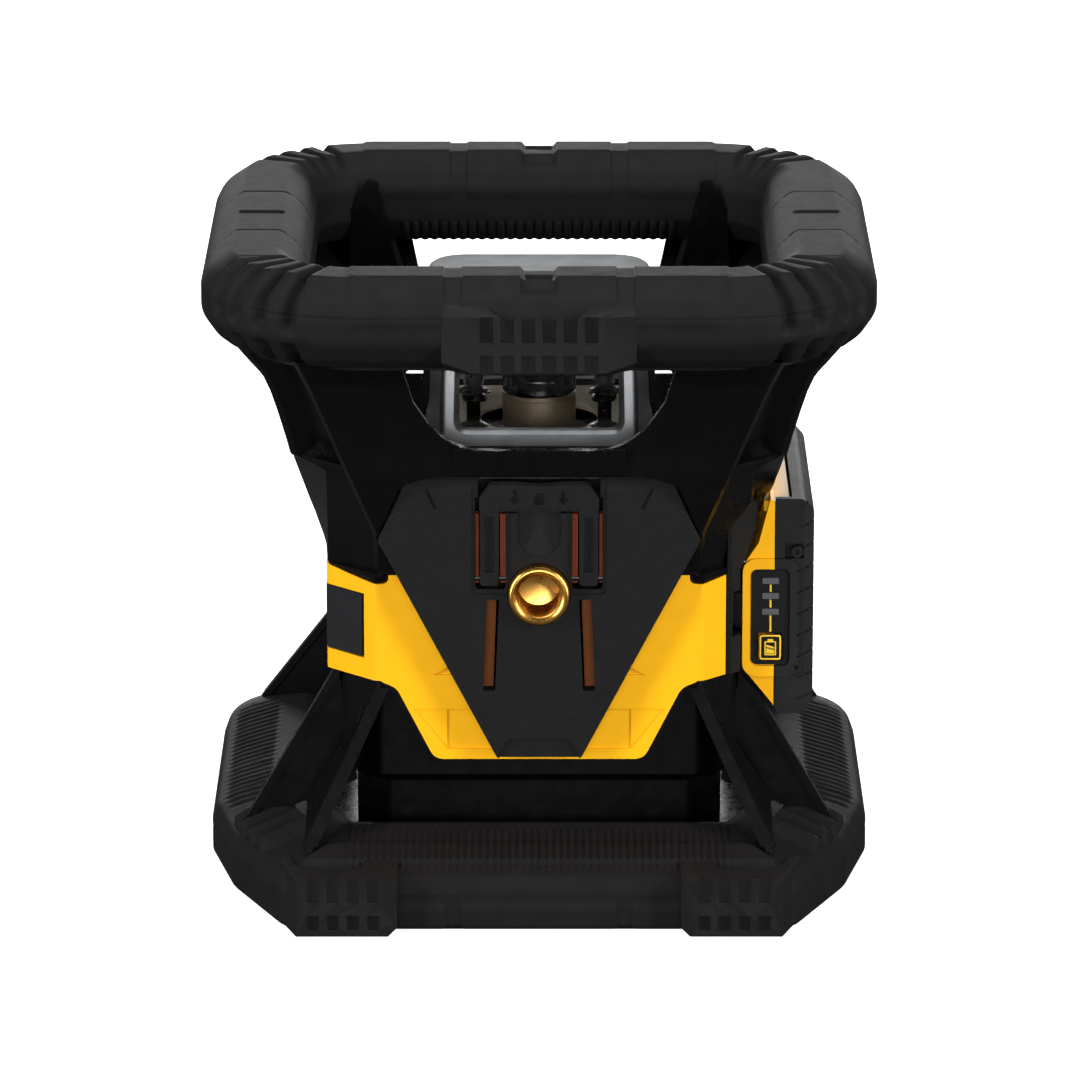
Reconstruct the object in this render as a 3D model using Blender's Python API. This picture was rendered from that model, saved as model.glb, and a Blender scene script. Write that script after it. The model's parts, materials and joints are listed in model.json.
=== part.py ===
"""Rotating laser level: roll cage, lay-down side mount, slide-on battery pack.

+Z is up, -Y is the side with the threaded side mount, +X the battery side and +Y the control panel
side.  The origin is the bottom centre of the bounding box.  Dimensions below are in millimetres, and
MM turns them into metres when a mesh is made.
"""
import math

import bmesh
import bpy
from mathutils import Vector

MM = 0.001
GAP = 0.3                         # clearance between pieces that rest on each other

# Rubber parts
OUTER = 109.4                     # half width of the handle ring and the base
FEET_Y = -111.0                   # plane of the three foot blocks
RING_CENTRE_Y = 1.5
RING_CORNER = 50.0
RING_LOW, RING_HIGH = 186.8, 216.0
RING_WIDTH = 36.0
RAIL_LOW, RAIL_HIGH, RAIL_HALF = 179.5, 199.5, 7.0
BASE_FRONT_Y = -101.5
BASE_REAR_Y = 111.0
BASE_CORNER = 40.0
BUMPER_WIDTH = 33.0

# Body
BODY = 69.5                       # half width of the yellow shell
CHAMFER = 16.0
BAND_LOW, BAND_HIGH = 74.0, 108.0
APRON_LOW = 47.3
CAGE_WALL = 3.2
HOUSING = 65.2
HOUSING_TOP = 143.5
CROSSBAR_LOW, CROSSBAR_HIGH = 145.5, 154.5
LEDGE_Z = 40.0

# Side mount
PLATE_FRONT, PLATE_BACK = -75.5, -69.9
THREAD_Z = 105.3                  # height of the side mount's thread axis
INSERT_R, THREAD_R = 10.05, 6.8   # 5/8 inch - 11 thread, minor radius
LEVER_PIVOT = (0.0, -73.0, 110.0)
PIN_AXIS = LEVER_PIVOT[1:]
PIN_R = 1.2

# Lantern and laser
LANTERN_X, LANTERN_Y = 37.5, 46.0
LANTERN_LOW, LANTERN_HIGH = 147.0, 186.0
WINDOW_LOW, WINDOW_HIGH = 152.5, 181.0
DECK_TOP = 145.0
POST_XY = 21.6
DRUM_R = 12.2
GIMBAL_Z = 95.0
PIVOT_R = 2.5

# Battery
BAY_WALL_X = 61.0                 # the shells are cut off here, and the bay wall closes them
BAY_X = 66.0
BAY_TOP = 136.0
PACK_FRONT, PACK_REAR = -54.5, 42.0
PACK_SEAM_X = 77.0
PACK_OUTER_X = 90.0
PACK_LOW, PACK_HIGH = 58.4, 131.5
RAIL_FRONT = -36.0

# Control panel
KEY_FACE_Y = 76.6

MATERIALS = {
    "rubber": ((0.020, 0.020, 0.021), 0.75, 0.0),
    "black_gloss": ((0.012, 0.012, 0.013), 0.22, 0.0),
    "black_textured": ((0.022, 0.022, 0.023), 0.62, 0.0),
    "yellow": ((0.93, 0.50, 0.02), 0.38, 0.0),
    "aluminium": ((0.62, 0.64, 0.66), 0.35, 1.0),
    "brass": ((0.78, 0.55, 0.22), 0.25, 1.0),
    "steel": ((0.55, 0.56, 0.57), 0.30, 1.0),
    "glass": ((0.80, 0.76, 0.70), 0.05, 0.0),
    "orange": ((0.75, 0.25, 0.04), 0.45, 0.0),
    "dark_red": ((0.16, 0.02, 0.02), 0.40, 0.0),
    "tan": ((0.42, 0.36, 0.26), 0.40, 0.5),
    "board_green": ((0.02, 0.18, 0.07), 0.50, 0.0),
    "grey": ((0.20, 0.20, 0.21), 0.50, 0.0),
}


# ---------------------------------------------------------------- shapes

def clear_scene():
    for obj in list(bpy.data.objects):
        bpy.data.objects.remove(obj)


def material(name):
    if name in bpy.data.materials:
        return bpy.data.materials[name]
    colour, roughness, metallic = MATERIALS[name]
    made = bpy.data.materials.new(name)
    made.use_nodes = True
    shader = made.node_tree.nodes["Principled BSDF"]
    shader.inputs["Base Color"].default_value = (*colour, 1.0)
    shader.inputs["Roughness"].default_value = roughness
    shader.inputs["Metallic"].default_value = metallic
    return made


def add(name, shape, material_name, origin=(0, 0, 0)):
    """A named object from (points, faces) in millimetres, with its own origin."""
    points, faces = shape
    mesh = bpy.data.meshes.new(name)
    mesh.from_pydata([(Vector(p) - Vector(origin)) * MM for p in points], [], faces)
    work = bmesh.new()
    work.from_mesh(mesh)
    bmesh.ops.recalc_face_normals(work, faces=work.faces)
    work.to_mesh(mesh)
    work.free()
    mesh.shade_smooth()
    mesh.set_sharp_from_angle(angle=math.radians(35))
    mesh.materials.append(material(material_name))
    obj = bpy.data.objects.new(name, mesh)
    obj.location = Vector(origin) * MM
    bpy.context.collection.objects.link(obj)
    return obj


def combine(target, shape, operation):
    """Join or cut target with a hidden helper solid."""
    helper = add(f"{target.name}_tool_{len(target.modifiers)}", shape, "grey")
    helper.hide_render = True
    helper.display_type = "WIRE"
    boolean = target.modifiers.new(operation.lower(), "BOOLEAN")
    boolean.operation = operation
    boolean.object = helper


def join(target, *shapes):
    for shape in shapes:
        combine(target, shape, "UNION")


def cut(target, *shapes):
    for shape in shapes:
        combine(target, shape, "DIFFERENCE")


def loft(loops, closed=False):
    """Skin loops of equal length; the ends are capped, or joined when closed."""
    size = len(loops[0])
    rows = len(loops)
    points = [point for loop in loops for point in loop]
    faces = []
    for row in range(rows if closed else rows - 1):
        here, there = row * size, (row + 1) % rows * size
        for i in range(size):
            j = (i + 1) % size
            faces.append((here + i, here + j, there + j, there + i))
    if not closed:
        faces.append(tuple(reversed(range(size))))
        faces.append(tuple(range((rows - 1) * size, rows * size)))
    return points, faces


def place(outline, level, plane="XY"):
    """2-D outline to 3-D: XY at height level, XZ at y = level, YZ at x = level."""
    if plane == "XY":
        return [(a, b, level) for a, b in outline]
    if plane == "XZ":
        return [(a, level, b) for a, b in outline]
    return [(level, a, b) for a, b in outline]


def prism(outline, low, high, plane="XY"):
    return loft([place(outline, low, plane), place(outline, high, plane)])


def box(low, high):
    (x0, y0, z0), (x1, y1, z1) = low, high
    return prism([(x0, y0), (x1, y0), (x1, y1), (x0, y1)], z0, z1)


def side_box(side, xs, ys, zs):
    """Box on the -X or +X side, with its x range given for +X."""
    low_x, high_x = sorted((side * xs[0], side * xs[1]))
    return box((low_x, ys[0], zs[0]), (high_x, ys[1], zs[1]))


def ring_prism(outer, inner, low, high, plane="XY"):
    """A tube between two outlines with the same number of points."""
    return loft([place(outer, low, plane), place(outer, high, plane),
                 place(inner, high, plane), place(inner, low, plane)], closed=True)


def circle(radius, steps=24, centre=(0, 0)):
    turn = 2 * math.pi / steps
    return [(centre[0] + radius * math.cos(i * turn), centre[1] + radius * math.sin(i * turn))
            for i in range(steps)]


def rounded(half_a, half_b, radius, steps=4, centre=(0, 0)):
    """Rounded rectangle, counter-clockwise."""
    outline = []
    for quarter, (side_a, side_b) in enumerate(((1, 1), (-1, 1), (-1, -1), (1, -1))):
        for step in range(steps + 1):
            angle = math.pi / 2 * (quarter + step / steps)
            outline.append((centre[0] + side_a * (half_a - radius) + radius * math.cos(angle),
                            centre[1] + side_b * (half_b - radius) + radius * math.sin(angle)))
    return outline


def octagon(half_a, half_b, cut_a, cut_b):
    """Rectangle with chamfered corners, counter-clockwise."""
    return [(half_a, -half_b + cut_b), (half_a, half_b - cut_b), (half_a - cut_a, half_b),
            (-half_a + cut_a, half_b), (-half_a, half_b - cut_b), (-half_a, -half_b + cut_b),
            (-half_a + cut_a, -half_b), (half_a - cut_a, -half_b)]


def body_outline(half, chamfer=CHAMFER):
    """The body's plan; the chamfer shrinks with the walls so that they stay parallel."""
    shrunk = chamfer - (BODY - half) * (2 - math.sqrt(2))
    return octagon(half, half, shrunk, shrunk)


def turned(profile, centre=(0, 0), steps=24, closed=True, plane="XY"):
    """Revolve (radius, level) points about the axis normal to plane through centre."""
    loops = [place(circle(radius, steps, centre), level, plane) for radius, level in profile]
    return loft(loops, closed)


def rod(radius, centre, low, high, plane="XY", steps=16):
    return turned([(radius, low), (radius, high)], centre, steps, False, plane)


def hull(points):
    """Convex solid around the points."""
    work = bmesh.new()
    for point in points:
        work.verts.new(point)
    found = bmesh.ops.convex_hull(work, input=work.verts)
    loose = [item for item in found["geom_interior"] if isinstance(item, bmesh.types.BMVert)]
    bmesh.ops.delete(work, geom=loose, context="VERTS")
    work.verts.index_update()
    shape = [v.co.copy() for v in work.verts], [tuple(v.index for v in f.verts) for f in work.faces]
    work.free()
    return shape


def mirrored(points, side_x=1, side_y=1):
    return [(side_x * x, side_y * y, z) for x, y, z in points]


# ---------------------------------------------------------------- rubber parts

def bumper_outline(inset):
    """Plan of the base: cut-off front corners, round rear corners."""
    right = [(81.5, BASE_FRONT_Y), (94.5, -73.5), (98.8, -63.2), (108.5, -24.0), (OUTER, 10.0)]
    for step in range(7):
        angle = math.pi / 2 * step / 6
        right.append((OUTER - BASE_CORNER + BASE_CORNER * math.cos(angle),
                      BASE_REAR_Y - BASE_CORNER + BASE_CORNER * math.sin(angle)))
    outline = right + [(-x, y) for x, y in reversed(right)]
    moved = []
    for i, here in enumerate(outline):
        before = Vector(here) - Vector(outline[i - 1])
        after = Vector(outline[(i + 1) % len(outline)]) - Vector(here)
        side_before = Vector((-before.y, before.x)).normalized()
        side_after = Vector((-after.y, after.x)).normalized()
        mitre = (side_before + side_after) / (1 + side_before.dot(side_after))
        moved.append(tuple(Vector(here) + mitre * inset))
    return moved


def base_bumper():
    profile = [(3, 0), (0, 3), (0, 13), (2.5, 18), (9, 21.5), (30, 27), (BUMPER_WIDTH, 27),
               (BUMPER_WIDTH, 0)]
    bumper = add("base_bumper", loft([place(bumper_outline(inset), z) for inset, z in profile], True),
                 "rubber")
    for side in (-1, 1):
        join(bumper, hull(mirrored([(45.9, FEET_Y, 3), (48.9, FEET_Y, 0), (78.8, FEET_Y, 0),
                                    (78.8, FEET_Y, 19.4), (45.9, FEET_Y, 19.4),
                                    (45.9, -90, 3), (48.9, -90, 0), (88.0, -90, 0),
                                    (86.0, -90, 21.0), (45.9, -90, 21.0)], side)))


def ring_path(half_width, corner):
    return rounded(half_width, half_width, corner, 6, (0, RING_CENTRE_Y))


def handle_ring():
    """Rubber grip: a rounded bar with a slot in its underside for the cage rail."""
    inner = OUTER - RING_WIDTH
    middle = OUTER - RING_WIDTH / 2
    slot = RAIL_HALF + GAP
    profile = [(OUTER - 9, RING_LOW), (OUTER, RING_LOW + 9), (OUTER, RING_HIGH - 11),
               (OUTER - 4, RING_HIGH - 6), (OUTER - 11, RING_HIGH), (inner + 11, RING_HIGH),
               (inner + 4, RING_HIGH - 6), (inner, RING_HIGH - 12), (inner, RING_LOW + 8),
               (inner + 6, RING_LOW), (middle - slot, RING_LOW), (middle - slot, RAIL_HIGH + GAP),
               (middle + slot, RAIL_HIGH + GAP), (middle + slot, RING_LOW)]
    loops = [place(ring_path(half, RING_CORNER - (OUTER - half)), z) for half, z in profile]
    ring = add("handle_ring", loft(loops, closed=True), "rubber")
    join(ring, hull([(21.3, FEET_Y, 186.7), (21.3, FEET_Y, 206.3), (-21.3, FEET_Y, 186.7),
                     (-21.3, FEET_Y, 206.3), (29.8, -101.0, 188.0), (-29.8, -101.0, 188.0),
                     (29.8, -100.0, 210.4), (-29.8, -100.0, 210.4)]))


# ---------------------------------------------------------------- cage and chassis

def cage_wall_offset(z):
    """Distance of the cage's four walls from the axis: upright below, leaning out above."""
    return BODY - 0.5 + max(0.0, z - 115.0) * 0.286


def cage_ridge(z):
    """Where a wall meets the corner chamfer."""
    return 52.3 + max(0.0, z - 124.0) * 0.393


CAGE_LEVELS = ((108.3, 45.5), (115.0, 49.0), (124.0, 51.6), (134.0, 48.5), (145.0, 44.0),
               (CROSSBAR_LOW, 22.0), (CROSSBAR_HIGH, 22.0), (157.0, 27.5), (163.0, 34.5),
               (172.0, 40.5), (182.5, 44.0))


def cage_corner(side_x, side_y):
    """One L-shaped corner pillar, lofted through (height, inner end) levels."""
    loops = []
    for z, inner in CAGE_LEVELS:
        wall, ridge = cage_wall_offset(z), cage_ridge(z)
        back = wall - CAGE_WALL
        turn = ridge - CAGE_WALL * 0.42
        loops.append(mirrored([(inner, wall, z), (ridge, wall, z), (wall, ridge, z),
                               (wall, inner, z), (back, inner, z), (back, turn, z),
                               (turn, back, z), (inner, back, z)], side_x, side_y))
    return loft(loops)


def pack_outline(extra=0.0):
    """End view of the battery pack, with a neck towards the body."""
    return [(BAY_X + 0.5 - extra, 73.5 - extra), (76.5 - extra, 61.5 - extra),
            (78.5 - extra, PACK_LOW - extra), (86.0 + extra, PACK_LOW - extra),
            (PACK_OUTER_X + extra, 62.5 - extra), (PACK_OUTER_X + extra, 127.5 + extra),
            (86.5 + extra, PACK_HIGH + extra), (75.0 - extra, PACK_HIGH + extra),
            (70.9 - extra, 116.5 + extra), (BAY_X + 0.5 - extra, 110.0 + extra)]


def pack_path():
    """The space that the pack sweeps through as it slides off towards -Y."""
    return prism(pack_outline(0.8), -120, 60, "XZ")


def upper_cage():
    """Top rail, four corner pillars and four cross bars in one moulding."""
    middle = OUTER - RING_WIDTH / 2
    outer = ring_path(middle + RAIL_HALF, RING_CORNER - RING_WIDTH / 2 + RAIL_HALF)
    inner = ring_path(middle - RAIL_HALF, RING_CORNER - RING_WIDTH / 2 - RAIL_HALF)
    cage = add("upper_cage", ring_prism(outer, inner, RAIL_LOW, RAIL_HIGH), "black_gloss")
    for side_x in (-1, 1):
        for side_y in (-1, 1):
            join(cage, cage_corner(side_x, side_y))
    low, high = cage_wall_offset(CROSSBAR_LOW), cage_wall_offset(CROSSBAR_HIGH)
    for side in (-1, 1):
        bar = [(x, y, z) for x in (-30, 30)
               for y, z in ((low - 0.2, CROSSBAR_LOW + 0.2), (low - 3.0, CROSSBAR_LOW + 0.2),
                            (high - 0.2, CROSSBAR_HIGH - 0.2), (high - 3.0, CROSSBAR_HIGH - 0.2))]
        join(cage, hull(mirrored(bar, 1, side)))
        join(cage, hull([(side * y, x, z) for x, y, z in bar]))
    cut(cage,
        prism(plate_outline(0.5), -90, PLATE_BACK + GAP, "XZ"),
        pack_path(),
        box((BAY_WALL_X, -63, 100), (72, 63, BAY_TOP + 2 * GAP)))


def fins(side_x):
    """Front, side and rear gusset fins of the lower corners on one side."""
    thick = 2.4
    side_fin = [(66.0, -54.2, 73.6), (67.4, -54.2, 73.6), (98.2, -54.2, 19.6), (60.0, -54.2, 35.5)]
    front_fin = [(50.5, -68.5, 70.0), (50.5, -63.5, 70.0), (74.0, -91.5, 23.0), (74.0, -58.0, 31.0)]
    rear_fin = [(64.0, 53.0, 70.0), (67.4, 53.0, 68.0), (97.0, 88.0, 25.0), (62.0, 58.0, 31.0)]
    built = []
    for fin, shift in ((side_fin, (0, thick, 0)), (front_fin, (thick, 0, 0)), (rear_fin, (0, thick, 0))):
        both = fin + [tuple(Vector(p) + Vector(shift)) for p in fin]
        built.append(hull(mirrored(both, side_x)))
    return built


def lower_chassis():
    """Black lower frame: core plate in the bumper, housing with a ledge, six gusset fins."""
    top = BAND_LOW - GAP
    levels = [(60.0, 10.0), (60.0, LEDGE_Z - 2), (66.5, LEDGE_Z), (66.5, top), (62.5, top),
              (62.5, LEDGE_Z + 2), (56.0, LEDGE_Z - 1), (56.0, 10.0)]
    chassis = add("lower_chassis", loft([place(body_outline(half), z) for half, z in levels], True),
                  "black_gloss")
    join(chassis, prism(bumper_outline(BUMPER_WIDTH + GAP), 3.0, 14.0))
    for side_x in (-1, 1):
        join(chassis, *fins(side_x))
    cut(chassis, rod(INSERT_R + GAP, (0, 0), -5, 20, steps=24), pack_path())


def bottom_cover():
    cover = add("bottom_cover", prism(rounded(60, 52, 10), 0.6, 2.7), "black_textured")
    cut(cover, rod(INSERT_R + GAP, (0, 0), -5, 5, steps=24))


def base_thread_insert():
    add("base_thread_insert", turned([(INSERT_R, 0.9), (INSERT_R, 15.0), (THREAD_R, 15.0),
                                      (THREAD_R, 0.9)]), "brass")


# ---------------------------------------------------------------- housing

def housing_shell():
    """Yellow band round the body, with an apron in front."""
    outer, inner = body_outline(BODY), body_outline(BODY - 3)
    shell = add("housing_shell", ring_prism(outer, inner, BAND_LOW, BAND_HIGH), "yellow")
    apron = [(-52.3, 76.0), (-52.3, BAND_LOW), (-48.0, 70.6), (-36.0, 50.0), (-33.7, APRON_LOW),
             (33.7, APRON_LOW), (36.0, 50.0), (48.0, 70.6), (52.3, BAND_LOW), (52.3, 76.0)]
    join(shell, prism(apron, -BODY, -BODY + 2.6, "XZ"))
    cut(shell,
        box((-24, -80, 62), (24, -60, 120)),
        box((BAY_WALL_X, -80, 60), (90, 80, 120)),
        prism([(-57.4, -66.5), (-75, -60), (-75, -19.7), (-60, -19.7), (-60, -52), (-55.0, -62.0)],
              80.7, 102.6))


def side_insert():
    outline = [(-57.9, -65.1), (-69.5, -53.5), (-69.5, -20.0), (-66.5, -20.0), (-66.5, -52.3),
               (-56.4, -62.4)]
    add("side_insert", prism(outline, 81.0, 102.3), "black_textured")


def upper_housing():
    """Black tube above the yellow band, closed on top round the opening for the laser head."""
    outer, inner = body_outline(HOUSING, CHAMFER + 1.5), body_outline(HOUSING - 3, CHAMFER + 1.5)
    housing = add("upper_housing", ring_prism(outer, inner, BAND_HIGH + GAP, HOUSING_TOP),
                  "black_gloss")
    join(housing, prism(body_outline(HOUSING - 1, CHAMFER + 1.5), HOUSING_TOP - 3, HOUSING_TOP - 0.1))
    cut(housing, rod(24.0, (0, 0), 130, 150, steps=32),
        rod(INSERT_R + GAP, (0, THREAD_Z), -80, -58, "XZ", 24),
        box((BAY_WALL_X, -70, 100), (90, 70, BAY_TOP + 2 * GAP)))


def bay_housing():
    """Black wall that carries the battery rail, with a notch for the pack's release button."""
    back, face = BAY_WALL_X + GAP, BAY_X - 0.1
    outline = [(back, BAND_LOW), (face, BAND_LOW), (face, 109.0), (69.4, 117.0), (71.2, 124.0),
               (71.2, BAY_TOP - 1.5), (back, BAY_TOP)]
    bay = add("bay_housing", prism(outline, -61.5, 61.5, "XZ"), "black_textured")
    for side in (-1, 1):
        corner = [(62.0, side * 62.0), (80.0, side * 44.0), (80.0, side * 62.0)]
        cut(bay, prism(corner[::side], 60, 150))
    cut(bay, box((63.3, -70, 86.5), (80, -39.5, 101.5)))


# Name, x, height and radius of each key on the control panel
KEYS = (("key_power", 0.0, 72.0, 6.5), ("key_left", -16.0, 90.0, 5.0), ("key_right", 16.0, 90.0, 5.0),
        ("key_up", 0.0, 101.0, 5.0), ("key_down", 0.0, 86.0, 4.6), ("key_speed", -25.0, 108.0, 4.5),
        ("key_sweep", 25.0, 108.0, 4.5))


def control_panel():
    panel = add("control_panel", prism(rounded(38, 30, 8, centre=(0, 92)), -PLATE_BACK, -PLATE_FRONT,
                                       "XZ"), "black_textured")
    join(panel, box((-30, HOUSING + 0.4, 112), (30, 71, 119)))
    for _, x, z, radius in KEYS:
        cut(panel, rod(radius + 0.4, (x, z), 60, 90, "XZ", 20))


def keys():
    for name, x, z, radius in KEYS:
        profile = [(radius, 71.0), (radius, KEY_FACE_Y - 0.8), (radius - 0.8, KEY_FACE_Y)]
        add(name, turned(profile, (x, z), 20, False, "XZ"), "grey", (x, KEY_FACE_Y, z))


# ---------------------------------------------------------------- side mount

def plate_outline(extra=0.0):
    right = [(13.7 + extra, 49.5 - extra), (48.0 + extra, 115.0), (52.4 + extra, 123.1),
             (43.0 + extra, 143.0 + extra)]
    return right + [(-x, z) for x, z in reversed(right)]


def mount_plate():
    """V-shaped plate with a notch and slots for the lever, and a boss that meets the housing."""
    plate = add("mount_plate", prism(plate_outline(), PLATE_FRONT, PLATE_BACK, "XZ"), "black_textured")
    join(plate, box((-40, PLATE_BACK - 1, 112), (40, -HOUSING - 0.4, 130)))
    cut(plate, box((-19.9, -80, 132.3), (19.9, -60, 150)),
        rod(INSERT_R + GAP, (0, THREAD_Z), -90, -60, "XZ", 32),
        hull([(x, y, z) for x in (-7.1, 7.1) for y in (-80, -72.5) for z in (121.5, 140)]
             + [(0, -80, 118), (0, -72.5, 118)]))
    for side in (-1, 1):
        cut(plate, side_box(side, (10.7, 20.7), (-80, -60), (106.6, 137)),
            prism([(side * 13.0, 103.2), (side * 16.9, 103.2), (side * 18.2, 72.4),
                   (side * 14.3, 72.4)][::side], -80, -60, "XZ"),
            rod(PIN_R + GAP, PIN_AXIS, *sorted((side * 9.5, side * 22.7)), "YZ", 12))


def side_thread_insert():
    profile = [(INSERT_R, -62.0), (INSERT_R, -78.6), (INSERT_R - 0.9, -79.5), (THREAD_R + 0.8, -79.5),
               (THREAD_R, -78.7), (THREAD_R, -62.0)]
    add("side_thread_insert", turned(profile, (0, THREAD_Z), 32, True, "XZ"), "brass")


def lock_lever():
    """T-shaped lever: a cross tab on two arms that hinge on pins at their lower ends."""
    tab = [(-19.4, 133.0), (19.4, 133.0), (19.4, 138.4), (16.6, 142.0), (-16.6, 142.0), (-19.4, 138.4)]
    lever = add("lock_lever", prism(tab, -75.3, -71.2, "XZ"), "black_textured", LEVER_PIVOT)
    for side in (-1, 1):
        join(lever, side_box(side, (13.0, 19.2), (-75.1, -71.4), (107.8, 134.0)))
        cut(lever, rod(PIN_R + GAP, PIN_AXIS, *sorted((side * 9.5, side * 22.7)), "YZ", 12))


def lever_pins():
    for name, side in (("lever_pin_left", -1), ("lever_pin_right", 1)):
        add(name, rod(PIN_R, PIN_AXIS, *sorted((side * 9.8, side * 22.4)), "YZ", 12), "steel")


def slide_strips():
    for name, side in (("slide_strip_left", -1), ("slide_strip_right", 1)):
        outline = [(side * 12.6, 135.5), (side * 15.6, 135.5), (side * 19.0, 70.5),
                   (side * 15.0, 70.5)][::side]
        add(name, prism(outline, PLATE_BACK + GAP, PLATE_BACK + 1.1, "XZ"), "orange")


# ---------------------------------------------------------------- battery

def battery():
    seam = PACK_SEAM_X
    outline = pack_outline()
    yellow = [outline[0], outline[1], (seam, 60.9), (seam, PACK_HIGH)] + outline[7:]
    upper = add("battery_upper_shell", prism(yellow, PACK_FRONT, PACK_REAR, "XZ"), "yellow")
    cut(upper, box((60, RAIL_FRONT - 2, 84.5), (74.8, 60, 103.5)),
        box((60, -60, 86.0), (72.8, -40.5, 101.0)))
    black = [(seam + GAP, 60.9)] + outline[2:7] + [(seam + GAP, PACK_HIGH)]
    add("battery_lower_shell", prism(black, PACK_FRONT, PACK_REAR, "XZ"), "black_textured")
    panel = add("gauge_panel", prism(rounded(6.2, 16.2, 2, 2, (75.6, 91.5)), PACK_FRONT - 2.2,
                                     PACK_FRONT - GAP, "XZ"), "black_gloss")
    cut(panel, box((71.9, -70, 76.9), (79.7, -50, 86.1)))
    add("gauge_button", box((72.2, PACK_FRONT - 2.6, 77.2), (79.4, PACK_FRONT - 1.2, 85.8)),
        "grey", (75.8, PACK_FRONT - 2.6, 81.5))
    add("battery_release_button", box((63.8, -54.2, 87.0), (70.2, -41.2, 100.0)), "grey",
        (63.8, -47.7, 93.5))
    rail = [(BAY_X + 0.2, 85.0), (72.0, 85.0), (74.3, 87.5), (74.3, 100.5), (72.0, 103.0),
            (BAY_X + 0.2, 103.0)]
    add("battery_rail", prism(rail, RAIL_FRONT, 41.5, "XZ"), "black_textured")


# ---------------------------------------------------------------- lantern

def lantern_outline(shrink, scale=1.0):
    return octagon((LANTERN_X - shrink) * scale, (LANTERN_Y - shrink) * scale, 5.0, 12.0)


def lantern():
    low, high = LANTERN_LOW, LANTERN_HIGH
    frame = add("lantern_frame", loft([place(lantern_outline(0), low), place(lantern_outline(1.5), high),
                                       place(lantern_outline(4.5), high), place(lantern_outline(3), low)],
                                      closed=True), "aluminium")
    cut(frame, box((-26, -60, WINDOW_LOW), (26, 60, WINDOW_HIGH)),
        box((-60, -38.3, WINDOW_LOW), (60, 38.3, WINDOW_HIGH)))
    add("lantern_gasket", ring_prism(lantern_outline(-0.5), lantern_outline(4), HOUSING_TOP + GAP,
                                     LANTERN_LOW - GAP), "rubber")
    cover = [(36.5, high + GAP, 12), (37.2, high + 2.0, 12), (35.5, high + 4.2, 11)]
    add("lantern_cover", loft([place(rounded(half, half + 8, radius), z) for half, z, radius in cover]),
        "aluminium")
    for name, side in (("window_front", -1), ("window_rear", 1)):
        y0, y1 = sorted((side * 42.5, side * 44.3))
        add(name, box((-25.7, y0, WINDOW_LOW + GAP), (25.7, y1, WINDOW_HIGH - GAP)), "glass")
    for name, side in (("window_left", -1), ("window_right", 1)):
        outline = [(34.2, -38.0), (35.6, -33.5), (35.6, 33.5), (34.2, 38.0), (32.6, 37.6), (34.0, 33.3),
                   (34.0, -33.3), (32.6, -37.6)]
        add(name, prism([(side * x, y) for x, y in outline][::side], WINDOW_LOW + GAP,
                        WINDOW_HIGH - GAP), "glass")
    deck = add("deck_plate", prism(lantern_outline(4.5), HOUSING_TOP + GAP, DECK_TOP), "tan")
    cut(deck, rod(20.0, (0, 0), 130, 160, steps=32))
    profile = [(4.0, DECK_TOP + GAP), (4.0, DECK_TOP + 2), (2.4, DECK_TOP + 3), (2.4, 158), (4.0, 159),
               (4.0, 161), (2.4, 162), (2.4, high - GAP)]
    for end, side_y in (("front", -1), ("rear", 1)):
        for hand, side_x in (("left", -1), ("right", 1)):
            add(f"deck_post_{end}_{hand}", turned(profile, (side_x * POST_XY, side_y * POST_XY), 12,
                                                  False), "black_textured")


# ---------------------------------------------------------------- laser head

def laser_head():
    centre = (0, 0, GIMBAL_Z)
    ring = add("gimbal_ring", turned([(30, GIMBAL_Z - 4), (30, GIMBAL_Z + 4), (24, GIMBAL_Z + 4),
                                      (24, GIMBAL_Z - 4)]), "aluminium", centre)
    for side in (-1, 1):
        join(ring, rod(PIVOT_R, (0, GIMBAL_Z), *sorted((side * 28, side * 37)), "YZ"))
    join(ring, box((-4, 28, GIMBAL_Z - 2), (4, 36.5, GIMBAL_Z + 2)))
    cut(ring, rod(PIVOT_R + 0.2, (0, GIMBAL_Z), -32, 32, "XZ"))

    module = add("laser_module", turned([(14, 60), (14, 124), (17, 124), (17, 127.7), (10, 127.7),
                                         (10, 60)]), "aluminium", centre)
    for side in (-1, 1):
        join(module, rod(PIVOT_R, (0, GIMBAL_Z), *sorted((side * 12, side * 28.5)), "XZ"))
    join(module, box((12.5, -3, 104), (39.5, 3, 107)))

    add("laser_diode_housing", turned([(8, 44), (9.6, 47), (9.6, 59.7)], closed=False), "brass", centre)
    add("collimator_lens", turned([(9.4, 66), (9.7, 67), (9.7, 69), (9.4, 70)], closed=False), "glass",
        centre)
    add("rotor_motor", turned([(17, 128), (17, 141), (10, 141), (10, 128)]), "dark_red", centre)
    add("rotor_bearing", turned([(9.7, 130), (9.7, 140.5), (6.3, 140.5), (6.3, 130)]), "steel", centre)
    rotor = (0, 0, 154.4)
    add("rotor_drum", turned([(3.5, 130), (6.0, 130), (6.0, 142.3), (DRUM_R, 142.3), (DRUM_R, 154.2),
                              (10, 154.2), (10, 145.5), (3.5, 145.5)], steps=32), "tan", rotor)
    cap = add("rotor_cap", turned([(DRUM_R, 154.5), (DRUM_R, 174), (10.7, 176), (1.2, 176),
                                   (1.2, 173.5), (9.9, 173.5), (9.9, 154.5)], steps=32),
              "black_gloss", rotor)
    cut(cap, box((-5, -20, 159), (5, 0, 170)))
    prism_half = 7.4
    pentagon = [(-prism_half, 145.8), (prism_half, 145.8), (prism_half, 157.0), (3.0, 163.5),
                (-prism_half, 163.5)]
    add("pentaprism", prism(pentagon, -4.5, 4.5, "YZ"), "glass", rotor)


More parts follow.
